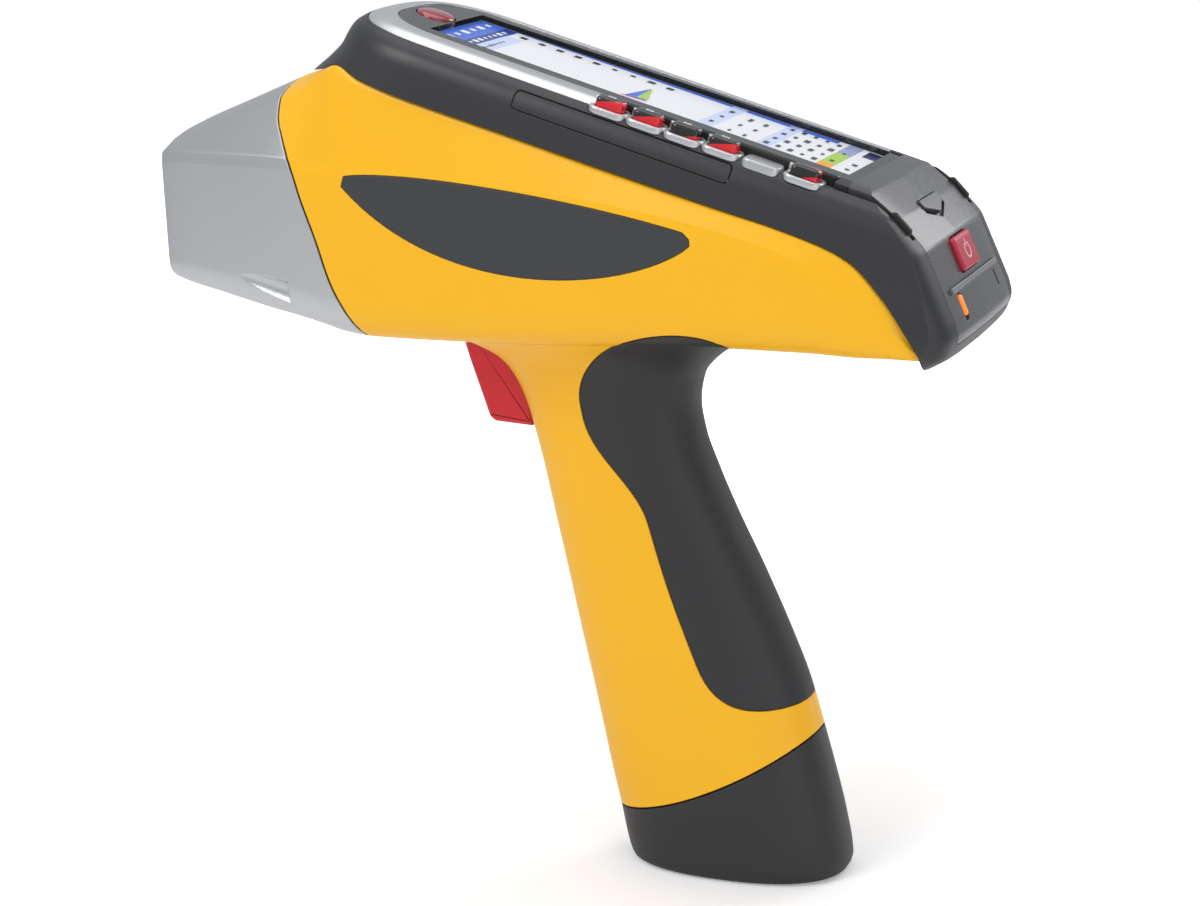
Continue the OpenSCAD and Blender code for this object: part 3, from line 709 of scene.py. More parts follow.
@dataclass(frozen=True)
class Finishes:
    """All the instrument's finishes, built once."""

    made: dict[str, bpy.types.Material] = field(default_factory=dict)

    def get(self, finish: Finish) -> bpy.types.Material:
        """Returns a finish's material, and builds it at its first use."""
        if finish.name not in self.made:
            self.made[finish.name] = finish.build()
        return self.made[finish.name]


YELLOW = Moulded("yellow_housing_plastic", (1.0, 0.50, 0.0), 0.40, tint=0.02, edge=0.45)
CHARCOAL = Moulded("charcoal_cradle_plastic", (0.028, 0.028, 0.030), 0.40, spread=0.08, edge=0.5)
REAR_GREY = Moulded("rear_cover_plastic", (0.055, 0.055, 0.058), 0.27, spread=0.06, edge=0.5, coat=0.25)
RUBBER = Moulded(
    "grip_rubber", (0.022, 0.022, 0.024), 0.52, spread=0.08, grain=0.012, grain_scale=1700, edge=0.9
)
FOOT = Moulded("battery_foot_plastic", (0.020, 0.020, 0.021), 0.44, spread=0.08, edge=0.6)
BADGE = Moulded("badge_plastic", (0.040, 0.041, 0.043), 0.38, spread=0.06, edge=0.4)
RED = Moulded("red_trigger_plastic", (0.66, 0.012, 0.022), 0.36, tint=0.05, edge=0.6)
WHITE_MARK = Moulded("white_key_mark", (0.8, 0.8, 0.8), 0.5, edge=0.05)
MATTE_BLACK = Moulded("matte_black_plastic", (0.012, 0.012, 0.012), 0.6, edge=0.3)
SEAL = Moulded("seam_seal_rubber", (0.010, 0.010, 0.010), 0.75, edge=0.1)
FILM = Moulded("amber_window_film", (0.45, 0.22, 0.04), 0.18, edge=0.05, coat=0.6)
CELL_WRAP = Moulded("cell_wrap", (0.05, 0.16, 0.42), 0.3, edge=0.3, coat=0.3)
BOARD = Moulded("board_mask", (0.01, 0.12, 0.05), 0.35, edge=0.1)
LIGHT_PIPE = Moulded("light_pipe_plastic", (0.16, 0.17, 0.18), 0.3, edge=0.4, coat=0.3)
NOSE_METAL = Metal(
    "blasted_nose_casting", (0.60, 0.605, 0.61), 0.36, metallic=0.82, grain=0.016, grain_scale=1100, edge=0.7
)
SILVER = Metal(
    "silver_bezel_paint", (0.66, 0.665, 0.675), 0.30, metallic=0.75, grain=0.003, stretch=(0.08, 1, 1),
    edge=0.5
)
STEEL = Metal("turned_steel", (0.52, 0.53, 0.55), 0.28, edge=0.15)
ALUMINIUM = Metal("machined_aluminium", (0.70, 0.71, 0.72), 0.34, stretch=(0.1, 1, 1), edge=0.2)
DARK_METAL = Metal("dark_anodised_metal", (0.05, 0.05, 0.055), 0.4, edge=0.3)
BRASS = Metal("contact_brass", (0.78, 0.52, 0.18), 0.3, edge=0.15)
LAMP = Glow("orange_status_lamp", (1.0, 0.16, 0.02), 1.2)
GEM_RED = Moulded("front_key_plastic", (0.30, 0.004, 0.010), 0.10, tint=0.25, grain=0.0, edge=0.3, coat=1.0)
POWER_RED = Moulded("power_key_plastic", (0.50, 0.012, 0.045), 0.34, tint=0.05, edge=0.5)
POWER_MARK = Moulded("power_key_mark", (0.86, 0.62, 0.66), 0.4, edge=0.05)
HEADER = Glow("header_blue", (0.060, 0.145, 0.62), 0.3)
HEADER_DARK = Glow("header_dark", (0.022, 0.050, 0.30), 0.3)
LILAC = Glow("row_lilac", (0.58, 0.65, 0.88), 0.3)
PAGE = Glow("display_page", (0.80, 0.81, 0.83), 0.3)
INK = Glow("display_ink", (0.060, 0.063, 0.075), 0.1)
ICON = Glow("header_icons", (0.82, 0.88, 0.72), 0.3)
ORANGE = Glow("bar_orange", (0.87, 0.35, 0.02), 0.3)
GREEN = Glow("bar_green", (0.38, 0.58, 0.06), 0.3)
SLATE = Glow("bar_slate", (0.29, 0.34, 0.54), 0.3)
NAVY = Glow("badge_navy", (0.008, 0.014, 0.11), 0.3)
CRIMSON = Glow("line_crimson", (0.50, 0.02, 0.03), 0.3)


# ---- Forms shared by the shells ---------------------------------------------------------------


def along(points: Line, count: int) -> Outline:
    """Returns a smooth line of count + 1 points through the given ones."""
    pts = np.array(points, float)
    run = np.concatenate([[0], np.cumsum(np.linalg.norm(np.diff(pts, axis=0), axis=1))])
    table = Table(np.column_stack([run, pts]))
    return [tuple(table.at(run[-1] * i / count)) for i in range(count + 1)]


def grown(outline: Line, distance: float) -> Outline:
    """Returns a closed outline moved outwards by a distance."""
    pts = np.array(outline, float)
    area = np.sum(pts[:, 0] * np.roll(pts[:, 1], -1) - np.roll(pts[:, 0], -1) * pts[:, 1])
    ahead = np.roll(pts, -1, axis=0) - pts
    ahead /= np.linalg.norm(ahead, axis=1)[:, None]
    out = np.column_stack([ahead[:, 1], -ahead[:, 0]]) * math.copysign(1, area)
    both = out + np.roll(out, 1, axis=0)
    both /= np.maximum(np.sum(both * out, axis=1), 0.5)[:, None]
    return [tuple(p) for p in pts + both * distance]


def spread_over(places: Sequence[float], step: float) -> list[float]:
    """Returns places no further than step apart, with all the given ones among them."""
    out: list[float] = []
    for a, b in zip(places, places[1:]):
        count = max(1, math.ceil((b - a) / step))
        out += [a + (b - a) * i / count for i in range(count)]
    return out + [places[-1]]


@dataclass(frozen=True)
class BodyForm:
    """Outer form that the nose and the housing share."""

    rows: tuple[tuple[float, ...], ...] = (
        (-127, 13, 221.0, 1.4, 20.5, 216.5, 183.0, 4),
        (-125.6, 15, 222.4, 2.0, 23.2, 218.5, 180.8, 5),
        (-122, 16, 223.6, 2.8, 25.2, 219.4, 179.6, 6),
        (-104, 18, 229.6, 4.0, 30.6, 220.0, 176.2, 8),
        (-85, 19.5, 236.4, 4.6, 35.2, 220.2, 172.8, 9),
        (-76, 22, 240.0, 3.9, 37.0, 219.9, 171.2, 10),
        (-67, 27, 245.2, 1.4, 38.3, 219.3, 169.4, 10),
        (-60, 32, 247.4, 0.6, 39.2, 218.8, 167.8, 10),
        (-50, 35.4, 244.0, 0.2, 40.0, 218.0, 167.0, 10),
        (-36, 36.6, 239.4, 0, 40.6, 216.6, 167.0, 10),
        (-4, 37, 229.6, 0, 41.0, 214.0, 167.2, 10),
        (38, 37.2, 216.6, 0, 41.0, 208.1, 168.6, 10),
        (60, 37.4, 210.0, 0, 41.0, 203.4, 169.2, 10),
        (79, 37.8, 204.4, 0, 40.8, 197.6, 169.0, 10),
        (97, 38.2, 197.0, 0, 40.2, 188.5, 168.9, 9),
        (107.3, 38.2, 187.1, 0, 39.8, 182.0, 169.5, 6),
        (113.9, 38, 177.8, 0, 39.2, 175.2, 169.8, 3),
        (118, 37, 171.2, 0, 38.0, 170.9, 169.9, 0.6),
    )
    crease: float = 2.4
    softness: float = 3.0

    def ring(self, x: float, inset: float = 0) -> list[tuple[float, float, float]]:
        """Returns the section's ring at a station, drawn inwards by inset."""
        top_y, top_z, crown, side_y, side_z, floor_z, radius = Table(self.rows).at(x)
        top_y, top_z, side_y = top_y - inset, top_z - inset, side_y - inset
        side_z, floor_z = side_z - 0.4 * inset, floor_z + inset
        radius = max(0.6, radius - inset)
        band = max(0.02, min(self.crease, 0.3 * (side_z - floor_z - radius)))
        line = [(top_y * s / 8, top_z + crown * (1 - (s / 8) ** 2)) for s in range(9)]
        line += [
            (side_y - 0.6, side_z + 0.4 * band), (side_y, side_z - band), (side_y, floor_z), (0, floor_z)
        ]
        half = fillet(line, [0] * 8 + [self.softness, 1.6, 1.6, radius * 1.15, 0], 6)
        return [(x, y, z) for y, z in half] + [(x, -y, z) for y, z in half[-2:0:-1]]

    def solid(self, inset: float = 0, first: float = -127, last: float = 118) -> Solid:
        """Returns the form between two stations, drawn inwards by inset."""
        near = [x for x in (-127, -126.7, -126.2, -125.6, -124.6, -123.4, -122) if x >= first]
        stations = spread_over(
            sorted({first, *near, *(r[0] for r in self.rows if first < r[0] < last), last}), 2.2
        )
        return loft("body_form", [self.ring(x, inset) for x in stations])


@dataclass(frozen=True)
class GripForm:
    """Outer form of the grip and the battery's foot."""

    rows: tuple[tuple[float, ...], ...] = (
        (0, 17.0, 80.2, 18.0),
        (1.2, 14.8, 82.9, 19.9),
        (4, 13.7, 84.1, 20.7),
        (18, 10.9, 82.1, 20.5),
        (30, 8.3, 79.4, 20.1),
        (45, 5.4, 75.6, 19.4),
        (60, 2.4, 71.5, 18.8),
        (74, -0.5, 66.2, 18.3),
        (93, -4.2, 58.0, 17.7),
        (110, -7.6, 49.9, 17.3),
        (124, -10.3, 43.9, 17.2),
        (135, -12.8, 40.0, 17.4),
        (144, -15.2, 38.6, 17.8),
        (153, -19.4, 40.2, 19.0),
        (158.4, -24.5, 44.6, 20.8),
        (162, -31.5, 49.5, 23.4),
        (166, -40, 56.0, 28.0),
        (171, -44, 64.0, 33.0),
    )
    sides: int = 88
    exponent: float = 2 / 2.4

    def ring(self, z: float, inset: float = 0) -> list[tuple[float, float, float]]:
        """Returns the oval ring at a height, drawn inwards by inset."""
        front, rear, half = Table(self.rows).at(z) + np.array([inset, -inset, -inset])
        out = []
        for i in range(self.sides):
            c, s = math.cos(2 * math.pi * i / self.sides), math.sin(2 * math.pi * i / self.sides)
            out.append((
                (front + rear) / 2 + (rear - front) / 2 * math.copysign(abs(c) ** self.exponent, c),
                half * math.copysign(abs(s) ** self.exponent, s),
                z,
            ))
        return out

    def solid(self, inset: float = 0, low: float = 0, high: float = 171) -> Solid:
        """Returns the form between two heights, drawn inwards by inset."""
        near = [z for z in (0, 0.3, 0.7, 1.2, 2.2, 4) if z >= low]
        heights = spread_over(
            sorted({low, *near, *(r[0] for r in self.rows if low < r[0] < high), high}), 1.8
        )
        return loft("grip_form", [self.ring(z, inset) for z in heights])


TILT = math.radians(17.4)
DECK = Plane((-35, 0, 257), (math.cos(TILT), 0, -math.sin(TILT)), (math.sin(TILT), 0, math.cos(TILT)))
FRONT_CENTRE = 12.0
DECK_POWER = 0.7
DECK_END = 200.0


def deck_plan(front: float, half: float, rear: float = DECK_END, steps: int = 40) -> Outline:
    """Returns the deck's plan at one level: a rounded front end and straight sides."""
    turn = [-math.pi / 2 + math.pi * i / steps for i in range(steps + 1)]
    nose = [
        (
            FRONT_CENTRE - (FRONT_CENTRE - front) * max(0.0, math.cos(a)) ** DECK_POWER,
            half * math.copysign(abs(math.sin(a)) ** DECK_POWER, a),
        )
        for a in turn
    ]
    return nose + [(rear, half), (rear, -half)]


def deck_prism(name: str, outline: Outline, low: float, high: float) -> Solid:
    """Makes a prism on the deck between two heights over the glass."""
    return prism(name, outline, low, high, DECK)


@dataclass(frozen=True)
class CradleForm:
    """Outer form of the cradle: rounded front end, shoulders, sides and rear."""

    levels: tuple[tuple[float, ...], ...] = (
        (-52, -46, 44.0), (-25, -36, 39.4), (-17, -30.5, 37.8), (-12, -27.6, 37.2), (-8, -26.5, 36.6),
        (-5.2, -25.4, 35.6), (-3.4, -23.8, 34.2), (-2.4, -22.6, 32.8), (-1.1, -20.4, 30.8),
        (-0.2, -17.6, 28.4), (0.3, -14.8, 25.6),
    )
    rear_line: tuple[tuple[float, float], ...] = (
        (-110, 283), (92, 219.4), (101.6, 214.8), (110.4, 207.4), (117.6, 199.2), (125.9, 179),
        (127, 174.5), (124.8, 169), (119.4, 166), (-110, 166),
    )
    softness: tuple[float, ...] = (0, 14, 8, 8, 8, 8, 6, 5, 3, 0)
    drawn: tuple[tuple[float, float], ...] = (
        (0, 0), (20, 0.3), (30, 0.8), (34, 1.3), (37, 2.4), (40.5, 6.5),
    )
    centre: tuple[float, float] = (70, 188)

    def side_at(self, height: float) -> float:
        """Returns the half width at a height over the glass."""
        return float(Table(self.levels).at(height)[1])

    def upper(self, inset: float) -> Solid:
        """Returns the form of front end and sides."""
        table = Table(self.levels)
        heights = spread_over([row[0] for row in self.levels], 0.7)
        rings = []
        for w in heights:
            front, half = table.at(w)
            rings.append([(u, v, w - inset) for u, v in deck_plan(front + inset, half - inset)])
        return DECK.place(loft("upper_form", rings))

    def rear(self, inset: float) -> Solid:
        """Returns the form of the rear end, as rings side by side."""
        drawn, centre = Table(self.drawn), np.array(self.centre)
        line = [np.array(p) for p in fillet(self.rear_line, self.softness, 8, closed=True)]
        rings = []
        one_side = spread_over([row[0] for row in self.drawn], 1.5)
        for half in [-v for v in reversed(one_side[1:])] + one_side:
            depth = float(drawn.at(abs(half))[0]) + inset
            rings.append([
                (q[0], half, q[1]) for q in (
                    p + depth * (centre - p) / np.linalg.norm(centre - p) for p in line
                )
            ])
        return loft("rear_form", rings)

    def solid(self, inset: float = 0) -> Solid:
        """Returns the whole form, drawn inwards by inset."""
        return combine(self.upper(inset), Join.COMMON, self.rear(inset))


BODY = BodyForm()
GRIP = GripForm()
CRADLE = CradleForm()

SEAM = along((
    (-46, 156), (-51.8, 167.4), (-57, 176), (-61.6, 184.4), (-66, 197.2), (-70.4, 208.8),
    (-74, 219.6), (-78.8, 226.4), (-82.6, 231), (-84.6, 236), (-86.5, 246),
), 60)
BASE_START = 15.5
BASE_LINE = bezier((4, BASE_START), (30, 20.2), (52, 27.8), (90, 56), 40)
BOUNDARY: Outline = [(x, float(Table(BODY.rows).at(x)[1])) for x in spread_over([-60, 118], 2)]


def ahead_of_seam(shift: float) -> Solid:
    """Returns the space ahead of the seam, moved along X by shift."""
    return side_prism("ahead", shifted(SEAM, shift, 0) + [(-150, 246), (-150, 156)])


def behind_seam(shift: float) -> Solid:
    """Returns the space behind the seam, moved along X by shift."""
    return side_prism("behind", shifted(SEAM, shift, 0) + [(-86.5, 300), (150, 300), (150, 156)])


def above_base(rise: float) -> Solid:
    """Returns the space over the line between grip and battery, raised by rise."""
    return side_prism(
        "above", shifted(BASE_LINE, 0, rise) + [(90, 200), (-80, 200), (-80, BASE_START + rise)]
    )


def below_base(rise: float) -> Solid:
    """Returns the space under the line between grip and battery, raised by rise."""
    return side_prism("below", shifted(BASE_LINE, 0, rise) + [(90, -5), (-80, -5), (-80, BASE_START + rise)])


def above_boundary(rise: float = 0) -> Solid:
    """Returns the space over the line between cradle and housing."""
    line = [(-100, 240), (-80, 243.5), (-66, 246)] + BOUNDARY + [
        (119, 150), (150, 150), (150, 300), (-100, 300)
    ]
    return side_prism("over", shifted(line, 0, rise))


def disc(
    name: str, centre: Sequence[float], axis: Sequence[float], radius: float, low: float, high: float,
    sides: int = 64
) -> Solid:
    """Makes a cylinder on an axis, between two places along it."""
    other = (0, 1, 0) if abs(Vector(axis).normalized().y) < 0.9 else (1, 0, 0)
    return prism(
        name, ring_points(radius, sides), low, high, Plane(centre, Vector(axis).cross(Vector(other)), axis)
    )


def cross_disc(
    name: str, at: tuple[float, float], radius: float, y0: float, y1: float, sides: int = 64
) -> Solid:
    """Makes a cylinder across the instrument, through a point of its side view."""
    return disc(name, (at[0], 0, at[1]), (0, 1, 0), radius, y0, y1, sides)


def pillow(name: str, length: float, width: float, radius: float, levels: Sequence[
    tuple[float, float]
], plane: Plane,
           at: tuple[float, float] = (0, 0)) -> Solid:
    """Makes a key with a soft top: a rounded rectangle drawn in from level to level.

    Args:
        name: the piece's name.
        length: its size along the plane's X.
        width: its size along the plane's Y.
        radius: its corners' radius.
        levels: heights over the plane, each with how far the outline is drawn in there.
        plane: the frame that it is drawn in.
        at: its centre in that frame.

    Returns:
        The piece.
    """
    rings = []
    for height, inset in levels:
        ring = rounded(length - 2 * inset, width - 2 * inset, max(0.2, radius - inset), 8)
        rings.append([(x + at[0], y + at[1], height) for x, y in ring])
    return plane.place(loft(name, rings))


@dataclass
class MarkGrid:
    """Rows of small flat marks, made with Geometry Nodes."""

    finish: Finish
    columns: int
    rows: int
    pitch: tuple[float, float]
    size: tuple[float, float, float]
    least: float = 0.55

    def tree(self) -> bpy.types.GeometryNodeTree:
        """Returns the node group: a grid of points with a box of its own random size on each."""
        group = bpy.data.node_groups.new("mark_grid", "GeometryNodeTree")
        for label, kind, way in (
            ("Geometry", "NodeSocketGeometry", "INPUT"), ("Columns", "NodeSocketInt", "INPUT"),
            ("Rows", "NodeSocketInt", "INPUT"), ("Reach", "NodeSocketVector", "INPUT"),
            ("Size", "NodeSocketVector", "INPUT"), ("Least", "NodeSocketFloat", "INPUT"),
            ("Seed", "NodeSocketInt", "INPUT"), ("Material", "NodeSocketMaterial", "INPUT"),
            ("Geometry", "NodeSocketGeometry", "OUTPUT"),
        ):
            group.interface.new_socket(label, in_out=way, socket_type=kind)
        make, link = group.nodes.new, group.links.new
        given, result = make("NodeGroupInput"), make("NodeGroupOutput")
        reach, grid, box = make(
            "ShaderNodeSeparateXYZ"
        ), make("GeometryNodeMeshGrid"), make("GeometryNodeMeshCube")
        chance, spots = make("FunctionNodeRandomValue"), make("GeometryNodeInstanceOnPoints")
        real, paint = make("GeometryNodeRealizeInstances"), make("GeometryNodeSetMaterial")
        link(given.outputs["Reach"], reach.inputs[0])
        link(reach.outputs[0], grid.inputs["Size X"])
        link(reach.outputs[1], grid.inputs["Size Y"])
        link(given.outputs["Columns"], grid.inputs["Vertices X"])
        link(given.outputs["Rows"], grid.inputs["Vertices Y"])
        link(given.outputs["Size"], box.inputs["Size"])
        chance.data_type = "FLOAT"
        link(given.outputs["Least"], chance.inputs[2])
        chance.inputs[3].default_value = 1.0
        link(given.outputs["Seed"], chance.inputs["Seed"])
        link(grid.outputs["Mesh"], spots.inputs["Points"])
        link(box.outputs["Mesh"], spots.inputs["Instance"])
        link(chance.outputs[1], spots.inputs["Scale"])
        link(spots.outputs["Instances"], real.inputs["Geometry"])
        link(real.outputs["Geometry"], paint.inputs["Geometry"])
        link(given.outputs["Material"], paint.inputs["Material"])
        link(paint.outputs["Geometry"], result.inputs["Geometry"])
        return group

    def build(
        self, name: str, material: bpy.types.Material, plane: Plane, at: tuple[float, float, float], seed: int
    ) -> Solid:
        """Makes the marks as one mesh.

        Args:
            name: the piece's name.
            material: the marks' material.
            plane: the frame that they lie in.
            at: the grid's centre in that frame.
            seed: the seed of their sizes.

        Returns:
            The piece.
        """
        obj = mesh_object(name, [(0, 0, 0)], [])
        modifier = obj.modifiers.new("marks", "NODES")
        group = self.tree()
        modifier.node_group = group
        values = {
            "Columns": self.columns, "Rows": self.rows, "Least": self.least, "Seed": seed,
            "Material": material,
            "Reach": [(self.columns - 1) * self.pitch[0] * MM, (self.rows - 1) * self.pitch[1] * MM, 0.0],
            "Size": [value * MM for value in self.size],
        }
        for item in group.interface.items_tree:
            if item.in_out == "INPUT" and item.name in values:
                modifier[item.identifier] = values[item.name]
        obj.update_tag()
        bake(obj)
        obj.data.transform(Matrix.Translation(Vector(at) * MM))
        bpy.data.node_groups.remove(group)
        return plane.place(obj)


def sloped(origin: tuple[float, float, float], degrees: float) -> Plane:
    """Returns a frame on a face that slopes down to the rear, with X down the slope."""
    slope = math.radians(degrees)
    return Plane(origin, (math.cos(slope), 0, -math.sin(slope)), (math.sin(slope), 0, math.cos(slope)))


@dataclass
class Assembly:
    """Base of the sub-assemblies: hands finished pieces to the frame."""

    finishes: Finishes

    def hand_in(
        self, obj: Solid, body: str, finish: Finish, *nodes: str,
        flat: bool = False
    ) -> Solid:
        """Dresses a piece, lets it ride on a body and hides the nodes it stands for.

        Args:
            obj: the piece.
            body: the body it moves with.
            finish: its finish.
            nodes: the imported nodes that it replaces.
            flat: whether it keeps flat shading.
        """
        if not flat:
            shade_smooth(obj)
        dress(obj, self.finishes.get(finish))
        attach(obj, body)
        if nodes:
            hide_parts(*nodes)
        return obj


@dataclass
class Nose(Assembly):
    """Cast nose with its window plate and the seal behind it; the places of the window's screws are listed
    but not used.
    """

    front: Plane = field(default_factory=lambda: Plane(WINDOW, (0, 0, -1), (-1, 0, 0)))
    screws: tuple[tuple[float, float], ...] = ((-9.1, -11.6), (-9.1, 11.6), (9.1, -11.6), (9.1, 11.6))

    def scoop(self, side: int, grow: float = 0) -> Solid:
        """Returns the hollow low on one side, deepening to the rear, grown all round."""
        rings = []
        for i in range(17):
            s = i / 16
            x, z = -101 + (24 + grow) * s, 185.6 - 5.6 * s
            y = side * (float(Table(BODY.rows).at(x)[3]) + 3 - 0.4 * s)
            r = 2.4 + 2.4 * s + grow
            rings.append([(x, y + r * c, z + r * d) for c, d in ring_points(1, 36)])
        return loft("scoop", rings)

    def build(self) -> None:
        """Builds and dresses the nose."""
        shell = combine(BODY.solid(last=-40), Join.COMMON, ahead_of_seam(-0.4))
        hollow = combine(
            BODY.solid(NOSE_WALL, last=-40), Join.COMMON,
            prism("box", rounded(300, 200, 1), 100, 300, Plane((27.4, 0, 0), (1, 0, 0), (0, 0, 1)))
        )
        combine(hollow, Join.MINUS, self.scoop(-1, NOSE_WALL), self.scoop(1, NOSE_WALL))
        pad = prism("pad", rounded(25.2, 30.2, 4.1, 8), -2.4, 3, self.front)
        bore = disc("bore", WINDOW, (-1, 0, 0), 9.2, -12, 2)
        combine(shell, Join.MINUS, hollow, pad, bore, self.scoop(-1), self.scoop(1))
        self.hand_in(shell, "instrument", NOSE_METAL, "nose_shell")

        seal = combine(BODY.solid(0.5, last=-40), Join.COMMON, ahead_of_seam(0.35))
        combine(seal, Join.MINUS, ahead_of_seam(-0.35), BODY.solid(NOSE_WALL, first=-126, last=-41))
        self.hand_in(seal, "instrument", SEAL, "nose_gasket")

        plate = prism("window_frame", rounded(25, 30, 4, 8), -2.4, -0.4, self.front)
        combine(plate, Join.MINUS, disc("bore", WINDOW, (-1, 0, 0), 8, -4, 1))
        self.hand_in(bevelled(plate, 0.35), "instrument", DARK_METAL, "window_plate")


@dataclass
class Housing(Assembly):
    """Yellow clamshell: two moulded halves, and the bare plate on the left one."""

    towers: tuple[tuple[float, float], ...] = ((-47, 175.4), (99, 175.6), (13, 104))
    slot: Outline = field(default_factory=lambda: fillet(
        [(-42, 160), (-33, 150), (-26, 131), (-6, 131), (-6, 150), (-12, 171), (-42, 171)],
        [0, 4, 3, 3, 6, 3, 2], 6, True,
    ))

    def badge_outline(self) -> Outline:
        """Returns the leaf-shaped plate's outline."""
        top = bezier((-54.6, 216.4), (-36, 219), (16, 212.6), (50.6, 203.6), 30)
        return top + [(52.5, 201.8), (52.6, 200)] + bezier(
            (50.6, 198.4), (30, 185.4), (-24, 181.4), (-55.6, 213.4), 30
        )

    def build(self, cover_line: Outline) -> None:
        """Builds and dresses both halves and the plate.

        Args:
            cover_line: the side outline of the rubber cover let into the grip.
        """
        whole = combine(BODY.solid(first=-90), Join.COMMON, behind_seam(0.4))
        grip = combine(GRIP.solid(), Join.COMMON, above_base(0.3))
        combine(whole, Join.UNION, grip)
        opening = [(-38, 300), (-38, 235.3)] + [(x, z - 5) for x, z in BOUNDARY if -38 < x < 110] + \
            [(112, 172), (130, 172), (130, 300)]
        recess = combine(
            side_prism("recess", cover_line), Join.MINUS, GRIP.solid(1.8, low=0.5, high=171),
            BODY.solid(1.2, first=-60)
        )
        combine(
            whole, Join.MINUS, BODY.solid(HOUSING_WALL, first=-95), GRIP.solid(GRIP_WALL),
            side_prism("opening", opening, 33),
            recess, side_prism("slot", self.slot, 6.2),
        )
        for side, name in ((-1, "left"), (1, "right")):
            half = copy_of(whole, f"housing_half_{name}")
            keep = prism("half", [(-200, 0.05), (200, 0.05), (200, 100), (-200, 100)], -1, 300)
            if side < 0:
                keep.data.transform(Matrix.Rotation(math.pi, 4, "Z"))
            combine(half, Join.COMMON, keep)
            for at in self.towers:
                wall = 14.5 if at[1] < 150 else 35
                reach = (0.05, wall) if side > 0 else (-wall, -0.05)
                post = cross_disc("post", at, 4.3, *reach)
                combine(half, Join.UNION, post)
                combine(half, Join.MINUS, cross_disc("hole", at, 1.6, *((-1, 12) if side > 0 else (-14, 1))))
            if side < 0:
                seat = prism("seat", grown(self.badge_outline(), 0.2), 25, 60, SIDE)
                combine(seat, Join.MINUS, BODY.solid(1.05))
                combine(half, Join.MINUS, seat)
            self.hand_in(half, "instrument", YELLOW, f"housing_{name}")
        discard(whole)
        badge = combine(prism("badge", self.badge_outline(), 25, 60, SIDE), Join.COMMON, BODY.solid())
        combine(badge, Join.MINUS, BODY.solid(1.0, first=-126, last=117))
        self.hand_in(badge, "instrument", BADGE, "side_badge")


@dataclass
class Cover(Assembly):
    """Soft rubber cover let into the grip."""

    def outline(self) -> Outline:
        """Returns the cover's outline in the side view."""
        parts = (
            ((64.5, 167), (60, 175.6), (44, 176), (30, 170.4)),
            ((26.5, 168.8), (14, 163), (6.8, 155), (8.1, 146)),
            ((8.7, 142), (11.5, 129.5), (24.5, 123), (28, 110.8)),
            ((28.8, 108), (34.4, 88), (38, 80), (42.6, 68)),
            ((43.8, 65.4), (50, 53), (61, 54), (73, 55.8)),
        )
        line = [p for part in parts for p in bezier(*part, 14)]
        return line + [(92, 57), (92, 167)]

    def build(self) -> None:
        """Builds and dresses the cover."""
        whole = combine(GRIP.solid(), Join.UNION, BODY.solid(first=-60))
        skin = combine(whole, Join.COMMON, side_prism("cover", grown(self.outline(), -0.3)))
        combine(skin, Join.MINUS, GRIP.solid(1.75, low=0.5, high=171), BODY.solid(1.15, first=-61))
        self.hand_in(skin, "instrument", RUBBER, "grip_cover")


@dataclass
class Battery(Assembly):
    """Foot that the instrument stands on."""

    def build(self) -> None:
        """Builds and dresses the foot."""
        foot = combine(GRIP.solid(high=120), Join.COMMON, below_base(-0.3))
        lean = math.radians(BATTERY_LEAN)
        tray = Plane((45.4, 0, 22), (math.cos(lean), 0, math.sin(lean)), (-math.sin(lean), 0, math.cos(lean)))
        box = combine(
            prism("tray", rounded(60.8, 22, 2), -4, 26, tray), Join.COMMON, GRIP.solid(4.3, high=120)
        )
        combine(foot, Join.UNION, box)
        for u in (-CELL_PITCH, 0, CELL_PITCH):
            combine(foot, Join.MINUS, prism("well", ring_points(CELL_WELL, 64, (u, 0)), -15.2, 60, tray))
        self.hand_in(foot, "battery", FOOT, "battery_base")


@dataclass(frozen=True)
class Key:
    """One side key: its place along the deck and where the painted dark reflection lies on its top."""

    place: float
    # black and crown place the painted dark reflection on the key's top
    black: float
    crown: float | None = None
    icon: bool = True


